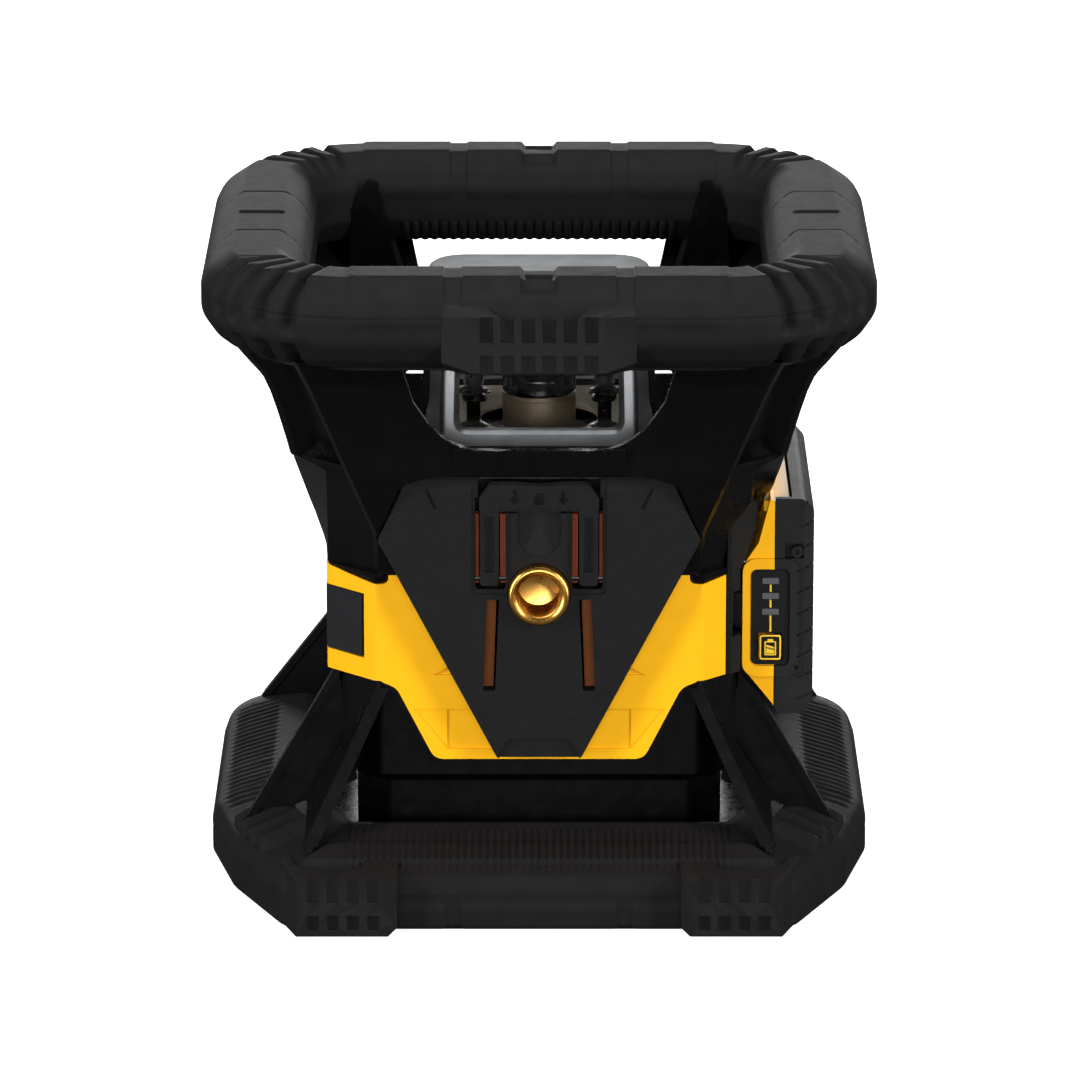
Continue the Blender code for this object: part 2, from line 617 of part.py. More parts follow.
def gimbal_carrier():
    """Plate across the chassis with two uprights that hold the gimbal's outer pins."""
    carrier = add("gimbal_carrier", prism(body_outline(61.0), 69.0, 73.0), "grey")
    for side in (-1, 1):
        join(carrier, side_box(side, (33.0, 38.0), (-8, 8), (71.0, GIMBAL_Z + 5)))
    cut(carrier, rod(31.0, (0, 0), 60, 80, steps=32),
        rod(PIVOT_R + 0.2, (0, GIMBAL_Z), -45, 45, "YZ"))


# Name, place in plan and height of the nut of each levelling drive
LEVELLERS = (("pitch", (0.0, 41.0), GIMBAL_Z), ("roll", (44.6, 0.0), GIMBAL_Z + 10.5))


def levelling_drives():
    """Two small motors on the carrier, each turning a lead screw that moves a nut."""
    for name, (x, y), level in LEVELLERS:
        add(f"{name}_motor", turned([(6.0, 73.3), (6.0, 84.0), (5.2, 85.0)], (x, y), 16, False), "steel")
        add(f"{name}_screw", turned([(1.6, 85.3), (1.6, 116.0)], (x, y), 10, False), "steel",
            (x, y, 85.3))
        add(f"{name}_nut", turned([(4.0, level - 2), (4.0, level + 2), (1.9, level + 2),
                                   (1.9, level - 2)], (x, y), 12), "brass", (x, y, level))


def circuit_board():
    add("circuit_board", box((-40, 57.0, 76), (40, 58.6, 104)), "board_green")


# ---------------------------------------------------------------- build

def build():
    clear_scene()
    base_bumper()
    bottom_cover()
    base_thread_insert()
    lower_chassis()
    housing_shell()
    side_insert()
    upper_housing()
    upper_cage()
    handle_ring()
    mount_plate()
    side_thread_insert()
    lock_lever()
    lever_pins()
    slide_strips()
    bay_housing()
    battery()
    lantern()
    laser_head()
    gimbal_carrier()
    levelling_drives()
    circuit_board()
    control_panel()
    keys()


build()
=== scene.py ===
"""Looks of the rotating laser level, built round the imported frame.

Shapes are worked out in millimetres in the frame of the CAD and turned into metres by MM. The side
with the brass insert faces -Y and the battery pack is on +X.
"""
import json
import math

import bmesh
import bpy
import numpy as np
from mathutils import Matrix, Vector


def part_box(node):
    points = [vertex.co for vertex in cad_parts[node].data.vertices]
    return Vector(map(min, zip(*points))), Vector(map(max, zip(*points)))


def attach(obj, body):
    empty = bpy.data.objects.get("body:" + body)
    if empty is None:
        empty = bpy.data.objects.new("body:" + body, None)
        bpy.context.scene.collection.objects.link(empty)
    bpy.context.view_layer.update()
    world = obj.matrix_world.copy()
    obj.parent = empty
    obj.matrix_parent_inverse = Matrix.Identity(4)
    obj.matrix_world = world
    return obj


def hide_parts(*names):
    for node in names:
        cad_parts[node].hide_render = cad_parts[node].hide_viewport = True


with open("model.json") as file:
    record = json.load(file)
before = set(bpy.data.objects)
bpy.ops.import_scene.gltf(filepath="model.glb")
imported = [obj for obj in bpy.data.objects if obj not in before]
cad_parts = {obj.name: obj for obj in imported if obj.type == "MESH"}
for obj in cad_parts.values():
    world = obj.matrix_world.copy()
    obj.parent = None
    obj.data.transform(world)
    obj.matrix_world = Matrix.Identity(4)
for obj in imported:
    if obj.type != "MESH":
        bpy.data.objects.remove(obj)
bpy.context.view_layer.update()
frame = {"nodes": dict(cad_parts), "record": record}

MM = 0.001
UP = Vector((0, 0, 1))
SLOT_OF = {row["node"]: row["material_slot"] for row in frame["record"]["subparts"]}
BODY_OF = {node: body for body, nodes in frame["record"]["behaviour"]["bodies"].items() for node in nodes}


def low(node):
    """Lowest corner of a CAD node, in millimetres."""
    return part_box(node)[0] / MM


def high(node):
    """Highest corner of a CAD node, in millimetres."""
    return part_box(node)[1] / MM


# ---- camera, floor and light

CAMERA_DISTANCE = 2.4
CAMERA_ELEVATION = math.radians(15.7)
FOCAL_LENGTH = 238.9
LOOK_AT = Vector((0.0003, 0.0015, 0.1018))


def camera():
    data = bpy.data.cameras.new("camera")
    data.lens = FOCAL_LENGTH
    data.clip_end = 60
    obj = bpy.data.objects.new("camera", data)
    back = Vector((0, -math.cos(CAMERA_ELEVATION), math.sin(CAMERA_ELEVATION)))
    obj.location = LOOK_AT + back * CAMERA_DISTANCE
    obj.rotation_euler = (math.pi / 2 - CAMERA_ELEVATION, 0, 0)
    bpy.context.scene.collection.objects.link(obj)
    bpy.context.scene.camera = obj


def area_light(name, place, size, power):
    """Rectangular light aimed at the object's middle."""
    data = bpy.data.lights.new(name, "AREA")
    data.shape = "RECTANGLE"
    data.size, data.size_y = size
    data.energy = power
    obj = bpy.data.objects.new(name, data)
    obj.location = place
    obj.rotation_euler = (Vector((0, 0, 0.1)) - Vector(place)).to_track_quat("-Z", "Y").to_euler()
    bpy.context.scene.collection.objects.link(obj)


def studio():
    world = bpy.data.worlds.new("studio")
    world.use_nodes = True
    world.node_tree.nodes["Background"].inputs["Color"].default_value = (0.92, 0.95, 1.0, 1)
    world.node_tree.nodes["Background"].inputs["Strength"].default_value = 0.10
    bpy.context.scene.world = world
    bpy.context.scene.view_settings.view_transform = "Standard"
    area_light("top", (0, -0.1, 1.7), (1.5, 1.1), 22)
    area_light("left", (-1.5, -0.9, 0.5), (0.35, 1.3), 30)
    area_light("right", (1.5, -0.9, 0.5), (0.35, 1.3), 30)
    area_light("front", (0, -2.6, 0.5), (1.8, 0.6), 29)
    area_light("rear", (0, 2.1, 0.45), (1.6, 0.5), 24)
    bpy.ops.mesh.primitive_plane_add(size=40, location=(0, 0, low("base_bumper").z * MM - 0.0002))
    floor = bpy.context.object
    floor.name = "floor"
    floor.visible_diffuse = False
    floor.visible_glossy = False
    made = bpy.data.materials.new("floor")
    made.use_nodes = True
    shader = made.node_tree.nodes["Principled BSDF"]
    shader.inputs["Base Color"].default_value = (0.9, 0.9, 0.9, 1)
    shader.inputs["Roughness"].default_value = 0.9
    shader.inputs["Emission Color"].default_value = (1, 1, 1, 1)
    shader.inputs["Emission Strength"].default_value = 0.85
    floor.data.materials.append(made)


# ---- materials

class Paint:
    """A procedural material: colour and roughness vary with noise, and bumps give the surface grain."""

    def __init__(self, name, colour, roughness, metallic=0.0, uneven=0.10, **sockets):
        self.name = name
        self.material = bpy.data.materials.new(name)
        self.material.use_nodes = True
        self.tree = self.material.node_tree
        self.shader = self.tree.nodes["Principled BSDF"]
        self.set(self.shader, "Metallic", metallic)
        for socket, value in sockets.items():
            self.set(self.shader, socket.replace("_", " "), value)
        self.coords = self.node("ShaderNodeTexCoord")
        self.colour = self.ramp_of_noise(130, [tuple(c * (1 - uneven) for c in colour),
                                               tuple(c * (1 + uneven) for c in colour)])
        self.link(self.colour, self.shader.inputs["Base Color"])
        self.roughness = self.map_noise(210, roughness - 0.03, roughness + 0.03)
        self.link(self.roughness, self.shader.inputs["Roughness"])
        self.normal = None

    def set(self, node, socket, value):
        node.inputs[socket].default_value = value

    def node(self, kind, **settings):
        made = self.tree.nodes.new(kind)
        for key, value in settings.items():
            setattr(made, key, value)
        return made

    def link(self, out, into):
        self.tree.links.new(out, into)

    def noise(self, scale, detail=3.0, stretch=(1, 1, 1)):
        spread = self.node("ShaderNodeMapping")
        self.link(self.coords.outputs["Object"], spread.inputs["Vector"])
        self.set(spread, "Scale", stretch)
        made = self.node("ShaderNodeTexNoise")
        self.link(spread.outputs["Vector"], made.inputs["Vector"])
        self.set(made, "Scale", scale)
        self.set(made, "Detail", detail)
        return made.outputs["Fac"]

    def ramp_of_noise(self, scale, colours):
        ramp = self.node("ShaderNodeValToRGB")
        for element, place, colour in zip(ramp.color_ramp.elements, (0.35, 0.65), colours):
            element.position = place
            element.color = (*[min(c, 1.0) for c in colour[:3]], 1)
        self.link(self.noise(scale), ramp.inputs["Fac"])
        return ramp.outputs["Color"]

    def map_noise(self, scale, least, most):
        spread = self.node("ShaderNodeMapRange")
        self.set(spread, "From Min", 0.3)
        self.set(spread, "From Max", 0.7)
        self.set(spread, "To Min", least)
        self.set(spread, "To Max", most)
        self.link(self.noise(scale), spread.inputs["Value"])
        return spread.outputs["Result"]

    def bump(self, height, depth):
        """Adds a bump of the given depth in millimetres to those already there."""
        made = self.node("ShaderNodeBump")
        self.set(made, "Strength", 1.0)
        self.set(made, "Distance", depth * MM)
        self.link(height, made.inputs["Height"])
        if self.normal:
            self.link(self.normal, made.inputs["Normal"])
        self.normal = made.outputs["Normal"]
        self.link(self.normal, self.shader.inputs["Normal"])
        return self

    def grain(self, scale, depth, detail=2.0, stretch=(1, 1, 1)):
        return self.bump(self.noise(scale, detail, stretch), depth)

    def pits(self, scale, depth):
        made = self.node("ShaderNodeTexVoronoi")
        self.link(self.coords.outputs["Object"], made.inputs["Vector"])
        self.set(made, "Scale", scale)
        return self.bump(made.outputs["Distance"], depth)

    def painted_edge_highlight(self, colour):
        """Another colour painted where the surface is convex: a painted highlight along the edges."""
        shape = self.node("ShaderNodeNewGeometry")
        spread = self.node("ShaderNodeMapRange")
        self.set(spread, "From Min", 0.53)
        self.set(spread, "From Max", 0.62)
        self.set(spread, "To Max", 0.5)
        self.link(shape.outputs["Pointiness"], spread.inputs["Value"])
        mix = self.node("ShaderNodeMix", data_type="RGBA")
        self.link(spread.outputs["Result"], mix.inputs["Factor"])
        self.link(self.colour, mix.inputs[6])
        mix.inputs[7].default_value = (*colour, 1)
        self.colour = mix.outputs[2]
        self.link(self.colour, self.shader.inputs["Base Color"])
        return self


def make_paints():
    paints = [
        # The rubber's lighter colour on its convex edges is a painted highlight.
        Paint("rubber", (0.0085, 0.0076, 0.0075), 0.70, Specular_IOR_Level=0.11)
        .grain(1900, 0.06).pits(900, 0.03).painted_edge_highlight((0.017, 0.0155, 0.015)),
        Paint("black_gloss", (0.0020, 0.0020, 0.0022), 0.27, Specular_IOR_Level=0.27)
        .grain(2600, 0.006),
        Paint("black_textured", (0.0065, 0.0065, 0.0067), 0.55, Specular_IOR_Level=0.16)
        .pits(2100, 0.12).grain(3400, 0.04),
        Paint("yellow", (0.97, 0.475, 0.007), 0.38, uneven=0.02, Specular_IOR_Level=0.16)
        .grain(2300, 0.012),
        Paint("aluminium", (0.66, 0.68, 0.70), 0.34, 1.0).grain(900, 0.02).grain(150, 0.04),
        Paint("cover_metal", (0.40, 0.41, 0.42), 0.42, 0.35).grain(900, 0.02).grain(150, 0.03),
        Paint("frame_metal", (0.40, 0.41, 0.42), 0.36, 1.0).grain(900, 0.02),
        Paint("brass", (0.70, 0.38, 0.08), 0.28, 1.0).grain(400, 0.01, stretch=(1, 9, 1)),
        Paint("steel", (0.58, 0.59, 0.60), 0.28, 1.0).grain(600, 0.012, stretch=(9, 1, 9)),
        Paint("glass", (0.97, 0.95, 0.91), 0.03, Transmission_Weight=1.0, IOR=1.12)
        .grain(60, 0.002),
        # Dark orange for the parts seen through the mount plate's slots: yellow plastic with its shade
        # painted in.
        Paint("orange", (0.25, 0.070, 0.012), 0.45, Specular_IOR_Level=0.2).grain(1500, 0.03),
        Paint("pack_black", (0.0155, 0.0155, 0.0170), 0.55, Specular_IOR_Level=0.10)
        .grain(2400, 0.02),
        # Dark red-orange for the strips beside the lever's arms: yellow plastic with its shade painted in.
        Paint("yellow_in_painted_shade", (0.20, 0.035, 0.010), 0.40, Specular_IOR_Level=0.2).grain(1500, 0.03),
        Paint("dark_red", (0.10, 0.012, 0.012), 0.42).grain(900, 0.03),
        Paint("tan", (0.34, 0.28, 0.19), 0.38, 0.6).grain(700, 0.02, stretch=(1, 1, 8)),
        Paint("board_green", (0.015, 0.15, 0.05), 0.45).grain(300, 0.05),
        Paint("grey", (0.13, 0.13, 0.135), 0.52).grain(1500, 0.05),
        Paint("cream", (0.72, 0.66, 0.54), 0.5).grain(800, 0.03),
        Paint("led", (0.085, 0.09, 0.10), 0.4).grain(500, 0.01),
        Paint("icon", (0.9, 0.56, 0.02), 0.45).grain(900, 0.02),
    ]
    return {paint.name: paint.material for paint in paints}


PAINTS = make_paints()


# ---- meshes

def piece(name, shape, paint, angle=35):
    """Object from (points, faces) in millimetres, faces turned outward, smooth except at sharp edges."""
    points, faces = shape
    mesh = bpy.data.meshes.new(name)
    mesh.from_pydata((np.asarray(points, float) * MM).tolist(), [], faces)
    work = bmesh.new()
    work.from_mesh(mesh)
    bmesh.ops.recalc_face_normals(work, faces=work.faces)
    work.to_mesh(mesh)
    work.free()
    mesh.shade_smooth()
    mesh.set_sharp_from_angle(angle=math.radians(angle))
    mesh.materials.append(PAINTS[paint])
    obj = bpy.data.objects.new(name, mesh)
    bpy.context.scene.collection.objects.link(obj)
    return obj


def apply_modifiers(obj):
    """Replaces a piece's mesh by what its modifiers make of it."""
    bpy.context.view_layer.update()
    deps = bpy.context.evaluated_depsgraph_get()
    mesh = bpy.data.meshes.new_from_object(obj.evaluated_get(deps))
    obj.modifiers.clear()
    old, obj.data = obj.data, mesh
    bpy.data.meshes.remove(old)


def combine(obj, operation, shapes):
    """Boolean of a piece with shapes, which take on its material."""
    for shape in shapes:
        tool = piece("tool", shape, "grey")
        tool.data.materials[0] = obj.data.materials[0]
        modifier = obj.modifiers.new("boolean", "BOOLEAN")
        modifier.operation = operation
        modifier.solver = "MANIFOLD"
        modifier.object = tool
        apply_modifiers(obj)
        bpy.data.objects.remove(tool)
    return obj


def join(obj, *shapes):
    return combine(obj, "UNION", shapes)


def cut(obj, *shapes):
    return combine(obj, "DIFFERENCE", shapes)


def merge(objects, name):
    """One object out of several."""
    bpy.ops.object.select_all(action="DESELECT")
    for obj in objects:
        obj.select_set(True)
    bpy.context.view_layer.objects.active = objects[0]
    bpy.ops.object.join()
    objects[0].name = name
    return objects[0]


def soften(obj, width, segments=3, angle=28):
    """Rounds the edges and flattens the shading of the large faces."""
    work = bmesh.new()
    work.from_mesh(obj.data)
    bmesh.ops.remove_doubles(work, verts=work.verts, dist=0.00002)
    bmesh.ops.dissolve_limit(work, angle_limit=math.radians(0.8), verts=work.verts, edges=work.edges)
    work.to_mesh(obj.data)
    work.free()
    bevel = obj.modifiers.new("bevel", "BEVEL")
    bevel.width = width * MM
    bevel.segments = segments
    bevel.limit_method = "ANGLE"
    bevel.angle_limit = math.radians(angle)
    bevel.miter_outer = "MITER_ARC"
    bevel.harden_normals = False
    apply_modifiers(obj)
    obj.data.shade_smooth()
    obj.data.set_sharp_from_angle(angle=math.radians(angle + 12))
    weighted = obj.modifiers.new("normals", "WEIGHTED_NORMAL")
    weighted.keep_sharp = True
    apply_modifiers(obj)
    return obj


def done(obj, *nodes, body=None, slot=None):
    """The piece stands for CAD nodes, or rides on a body as an extra."""
    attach(obj, body or BODY_OF[nodes[0]])
    if nodes:
        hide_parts(*nodes)
    return obj


# ---- outlines and solids

def loft(loops, closed=False):
    """Solid through loops of equal length; closed joins the last loop to the first, else both are capped."""
    size, rows = len(loops[0]), len(loops)
    points = [point for loop in loops for point in loop]
    faces = []
    for row in range(rows if closed else rows - 1):
        here, there = row * size, (row + 1) % rows * size
        for i in range(size):
            j = (i + 1) % size
            faces.append((here + i, here + j, there + j, there + i))
    if not closed:
        faces.append(tuple(reversed(range(size))))
        faces.append(tuple(range((rows - 1) * size, rows * size)))
    return points, faces


def place(outline, level, plane="XY"):
    """Puts a plane outline into space, at a level along the third axis."""
    if plane == "XY":
        return [(a, b, level) for a, b in outline]
    if plane == "XZ":
        return [(a, level, b) for a, b in outline]
    return [(level, a, b) for a, b in outline]


def prism(outline, start, end, plane="XY"):
    return loft([place(outline, start, plane), place(outline, end, plane)])


def upright(outline, start, end):
    """Prism along Y from an outline in x and z."""
    return prism(outline, start, end, "XZ")


def hollow(outer, inner, start, end, plane="XY"):
    """Prism with a hole through it, from two outlines with the same number of points."""
    return loft([place(outer, start, plane), place(outer, end, plane), place(inner, end, plane),
                 place(inner, start, plane)], True)


def mirrored(outline, side):
    """The outline for side 1, and its mirror image across the Y axis for side -1."""
    return [(side * a, b) for a, b in outline][::side]


def box(start, end):
    (x0, y0, z0), (x1, y1, z1) = start, end
    return prism([(x0, y0), (x1, y0), (x1, y1), (x0, y1)], z0, z1)


def side_box(side, xs, ys, zs):
    """Box on the side where x is positive, or its mirror image for side -1."""
    x0, x1 = sorted((side * xs[0], side * xs[1]))
    return box((x0, ys[0], zs[0]), (x1, ys[1], zs[1]))


def circle(radius, steps=64, centre=(0, 0)):
    turn = 2 * math.pi / steps
    return [(centre[0] + radius * math.cos(i * turn), centre[1] + radius * math.sin(i * turn))
            for i in range(steps)]


def rounded(half_a, half_b, radius, steps=8, centre=(0, 0)):
    outline = []
    for quarter, (side_a, side_b) in enumerate(((1, 1), (-1, 1), (-1, -1), (1, -1))):
        for step in range(steps + 1):
            angle = math.pi / 2 * (quarter + step / steps)
            outline.append((centre[0] + side_a * (half_a - radius) + radius * math.cos(angle),
                            centre[1] + side_b * (half_b - radius) + radius * math.sin(angle)))
    return outline


def filleted(corners, radii, steps=6):
    """Closed outline with each corner rounded by its own radius."""
    if isinstance(radii, (int, float)):
        radii = [radii] * len(corners)
    outline = []
    for i, (corner, radius) in enumerate(zip(corners, radii)):
        here = Vector(corner)
        to_last = (Vector(corners[i - 1]) - here)
        to_next = (Vector(corners[(i + 1) % len(corners)]) - here)
        reach = radius / math.tan(max(to_last.angle(to_next) / 2, 0.01)) if radius else 0
        reach = min(reach, 0.49 * to_last.length, 0.49 * to_next.length)
        if reach < 1e-4:
            outline.append(tuple(here))
            continue
        start, end = here + to_last.normalized() * reach, here + to_next.normalized() * reach
        for step in range(steps + 1):
            t = step / steps
            outline.append(tuple(start * (1 - t) ** 2 + here * 2 * t * (1 - t) + end * t * t))
    return outline


def octagon(half_a, half_b, cut_a, cut_b):
    """Rectangle with its corners cut off."""
    return [(half_a, -half_b + cut_b), (half_a, half_b - cut_b), (half_a - cut_a, half_b),
            (-half_a + cut_a, half_b), (-half_a, half_b - cut_b), (-half_a, -half_b + cut_b),
            (-half_a + cut_a, -half_b), (half_a - cut_a, -half_b)]


def turned(profile, centre=(0, 0), steps=96, closed=True, plane="XY"):
    """Solid of revolution from (radius, level) points."""
    return loft([place(circle(radius, steps, centre), level, plane) for radius, level in profile], closed)


def rod(radius, centre, start, end, plane="XY", steps=48):
    """Round bar across the plane, from start to end."""
    return turned([(radius, start), (radius, end)], centre, steps, False, plane)


def hull(points):
    work = bmesh.new()
    for point in points:
        work.verts.new(point)
    found = bmesh.ops.convex_hull(work, input=work.verts)
    loose = [item for item in found["geom_interior"] if isinstance(item, bmesh.types.BMVert)]
    bmesh.ops.delete(work, geom=loose, context="VERTS")
    work.verts.index_update()
    shape = [tuple(v.co) for v in work.verts], [tuple(v.index for v in f.verts) for f in work.faces]
    work.free()
    return shape


def flip(points, side_x=1, side_y=1):
    return [(side_x * x, side_y * y, z) for x, y, z in points]


def smooth(value, start, end):
    """0 below start, 1 above end, an S curve between."""
    t = np.clip((value - start) / (end - start), 0, 1)
    return t * t * (3 - 2 * t)


def window(value, start, end, edge):
    """1 between start and end, falling to 0 over edge on either side."""
    return smooth(value, start - edge, start) * (1 - smooth(value, end, end + edge))


def resample(outline, step):
    """Points along a closed outline, no further apart than step."""
    found = []
    for i, here in enumerate(outline):
        there = outline[(i + 1) % len(outline)]
        count = max(1, math.ceil(math.dist(here, there) / step))
        for k in range(count):
            t = k / count
            found.append((here[0] * (1 - t) + there[0] * t, here[1] * (1 - t) + there[1] * t))
    return np.array(found)


def outline_normals(outline):
    """Unit normals to the right of a closed outline's direction."""
    ahead, behind = np.roll(outline, -1, 0), np.roll(outline, 1, 0)
    along = ahead - behind
    along /= np.maximum(np.linalg.norm(along, axis=1), 1e-9)[:, None]
    return np.stack([along[:, 1], -along[:, 0]], 1)


def grid_faces(rows, columns):
    """Quads of a grid that closes on itself both ways."""
    i, j = (a.ravel() for a in np.meshgrid(np.arange(rows), np.arange(columns), indexing="ij"))
    k, m = (i + 1) % rows, (j + 1) % columns
    return np.stack([i * columns + j, i * columns + m, k * columns + m, k * columns + j], 1).tolist()


# ---- handle ring

RING_LOW, RING_HIGH = low("handle_ring").z, high("handle_ring").z
RAIL_LOW, RAIL_HIGH, RAIL_HALF = 179.5, 199.5, 7.0
RING_HALF = high("handle_ring").x
RING_WIDTH = 36.0
RING_CORNER = 54.0
RING_MIDDLE = RING_HALF - RING_WIDTH / 2
RING_CENTRE_Y = high("handle_ring").y - RING_HALF
# Half the width of the slot under the ring, in which the cage's rail lies
RAIL_SLOT = RAIL_HALF + 0.3
RING_PROFILE = [(RAIL_SLOT, 187.0), (9.5, RING_LOW), (13.8, 190.0), (18.0, 196.2), (18.0, 205.2),
                (15.2, 210.8), (7.4, RING_HIGH), (-7.0, RING_HIGH), (-13.5, 211.6), (-16.6, 205.6),
                (-16.6, 194.0), (-12.5, RING_LOW), (-RAIL_SLOT, RING_LOW), (-RAIL_SLOT, RAIL_HIGH + 0.3),
                (RAIL_SLOT, RAIL_HIGH + 0.3)]
RING_ROUNDING = [0.4, 3, 7, 7, 5, 9, 3, 5, 9, 5, 3, 3, 0.4, 0, 0]
RIB_ANGLES = (27, 39, 51, 63)
# Places in y of the panel lines over the side bars
PANEL_LINES = (25.4, -30.3)
POCKET_DEPTH = 1.2


def ring_path():
    """Places (x, y), outward normals and turn angles along the middle of the ring, in order."""
    places, normals = [], []
    straight = RING_HALF - RING_CORNER
    corner = RING_CORNER - RING_WIDTH / 2
    # The grid is finer at the edges of the panels, the slot and the notch
    marks = [y - RING_CENTRE_Y for y in PANEL_LINES] + [-5.9, 24.6, -24.6, 30.6, -30.6, 4.6, -4.6]
    stops = set(np.arange(-straight, straight + 0.01, 1.5).round(2))
    for mark in marks:
        stops |= {round(mark + shift, 2) for shift in (-4, -1, -0.6, -0.3, 0, 0.3, 0.6, 1, 4)}
    stops = sorted(stop for stop in stops if abs(stop) < straight - 0.2)
    for quarter in range(4):
        turn = quarter * math.pi / 2
        out, along = np.array([math.cos(turn), math.sin(turn)]), np.array([-math.sin(turn), math.cos(turn)])
        for stop in stops:
            places.append(out * RING_MIDDLE + along * stop)
            normals.append(out)
        for angle in np.linspace(0, 90, 67):
            spin = turn + math.radians(angle)
            normal = np.array([math.cos(spin), math.sin(spin)])
            places.append((out + along) * straight + normal * corner)
            normals.append(normal)
    return np.array(places) + (0, RING_CENTRE_Y), np.array(normals)


def groove(value, centre, half_width):
    """1 at the centre, 0 beyond half_width, rounded."""
    t = np.clip(1 - np.abs(value - centre) / half_width, 0, 1)
    return t * t * (3 - 2 * t)


def ring_relief(x, y, outward, z, turn):
    """How far the surface stands off the plain section, in millimetres."""
    relief = np.zeros_like(x)
    outer = smooth(outward, -15.0, 4.0)
    for angle in RIB_ANGLES:
        across = groove(turn, angle, 3.7)
        relief -= (1.0 + 2.5 * outer) * across * smooth(z, 198.6, 200.6) * smooth(outward, -15, -9)
        relief -= 2.9 * across * (1 - smooth(z, 193.8, 195.8)) * smooth(outward, 4, 8)
    side_bar = np.abs(x) > np.abs(y - RING_CENTRE_Y)
    straight = (turn < 0.01) | (turn > 89.99)
    # Panel lines over the side bars, straight across the top and leaning down both flanks
    slant = 0.85 * np.clip(np.abs(outward + 0.3) - 8.0, 0, None)
    for mark in PANEL_LINES:
        relief -= 0.45 * groove(y + slant, mark, 0.65) * side_bar * straight * smooth(z, 196, 200)
    relief -= 0.40 * groove(y + slant, -67.5, 0.65) * side_bar * smooth(z, 196, 200)
    # Small slot on top of each side bar
    top = smooth(z, RING_HIGH - 2.5, RING_HIGH - 1.0)
    relief -= 1.5 * window(y, -6.2, -2.6, 0.5) * window(outward, -6.5, 6.8, 1.2) * side_bar * top * straight
    # Front and rear bars: raised panels, a notch in the middle and a seam below them
    bar = ~side_bar
    crest = smooth(z, 211, 214)
    for start, end in ((30.6, 60), (-1, 24.4)):
        relief += 0.55 * bar * smooth(z, 202.6, 203.2) * window(np.abs(x), start, end, 0.5)
    relief -= 1.5 * window(x, -4.6, 4.6, 1.6) * crest * bar
    relief -= 0.7 * window(x, -4.2, 4.2, 0.5) * window(outward, 1.0, 6.0, 1.0) * crest * bar
    relief -= 0.35 * groove(z, 204.8, 0.9) * smooth(outward, 15, 17) * bar
    return relief


def handle_ring():
    places, normals = ring_path()
    section = resample(filleted(RING_PROFILE, RING_ROUNDING, 6), 1.45)
    section_normals = outline_normals(section)
    turn = np.degrees(np.arctan2(normals[:, 1], normals[:, 0])) % 90
    turn = np.repeat(turn[:, None], len(section), 1)
    outward = np.repeat(section[None, :, 0], len(places), 0)
    level = np.repeat(section[None, :, 1], len(places), 0)

    def plan(outward):
        return (places[:, axis][:, None] + normals[:, axis][:, None] * outward for axis in (0, 1))

    relief = ring_relief(*plan(outward), outward, level, turn)
    relief[(np.abs(outward) < RAIL_SLOT + 0.2) & (level < RAIL_HIGH + 0.5)] = 0
    x, y = plan(outward + relief * section_normals[None, :, 0])
    points = np.stack([x, y, level + relief * section_normals[None, :, 1]], -1).reshape(-1, 3)
    ring = piece("handle_ring_grip", (points, grid_faces(*x.shape)), "rubber", 50)
    return done(ring, "handle_ring")


def finger_ribs():
    """Rounded ribs on the inner lower chamfer of each bar, where the fingers close."""
    points, faces = [], []
    pitch, count = 3.25, 29
    for quarter in range(4):
        turn = quarter * math.pi / 2
        out, along = Vector((math.cos(turn), math.sin(turn))), Vector((-math.sin(turn), math.cos(turn)))
        for k in range(count):
            shift = (k - (count - 1) / 2) * pitch
            shape_points, shape_faces = finger_rib(out, along * shift + Vector((0, RING_CENTRE_Y)), along)
            faces += [tuple(i + len(points) for i in face) for face in shape_faces]
            points += shape_points
    return done(piece("handle_ring_finger_ribs", (points, faces), "rubber", 60), body="root", slot="rubber")


def finger_rib(out, foot, along):
    """Half-buried rod from the inner wall down to the underside."""
    loops = []
    run = [(-16.2, 194.6, 0.25), (-16.3, 193.6, 1.15), (-14.2, 190.0, 1.3), (-12.0, RING_LOW + 0.3, 1.3),
           (-9.0, RING_LOW + 0.2, 1.1), (-8.4, RING_LOW + 0.4, 0.3)]
    for outward, z, size in run:
        loop = []
        for step in range(8):
            angle = 2 * math.pi * step / 8
            place_xy = out * (RING_MIDDLE + outward + 0.4 * size * math.sin(angle)) + foot
            place_xy += along * (size * math.cos(angle))
            loop.append((place_xy.x, place_xy.y, z + 0.5 * size * math.sin(angle)))
        loops.append(loop)
    return loft(loops)


def pockets(foot, columns, half_width, rows, face_y):
    """Shallow pockets in the face of a foot block, which leave its ribs standing."""
    floor_y = face_y + POCKET_DEPTH
    for x in columns:
        for start, end in rows:
            cut(foot, box((x - half_width, face_y - 2, start), (x + half_width, floor_y, end)))


def ring_foot():
    """Ribbed block on the front bar, on which the tool lies."""
    face_y = low("handle_ring").y
    corners = [(21.3, 0, 188.2), (21.3, 0, 206.3), (31.0, 3.0, 191.0), (31.0, 3.0, 206.0),
               (31.0, 5.4, 209.4), (31.0, 16.0, 209.4), (29.5, 16.0, 187.4), (29.0, 7.0, 187.4),
               (21.0, 3.0, 186.7)]
    body = hull([(side * x, face_y + back, z) for side in (-1, 1) for x, back, z in corners])
    block = piece("handle_ring_foot", body, "rubber")
    pockets(block, [-16.65 + 6.66 * k for k in range(6)], 2.1, ((198.2, 206.4), (184.0, 193.9)), face_y)
    scoop = filleted([(-16.5, 212), (-16.5, 208.6), (-11.5, 205.8), (11.5, 205.8), (16.5, 208.6),
                      (16.5, 212)], [0, 2, 4, 4, 2, 0])
    cut(block, upright(scoop, -120, -105.3))
    return done(soften(block, 0.7), body="root", slot="rubber")


# ---- base bumper

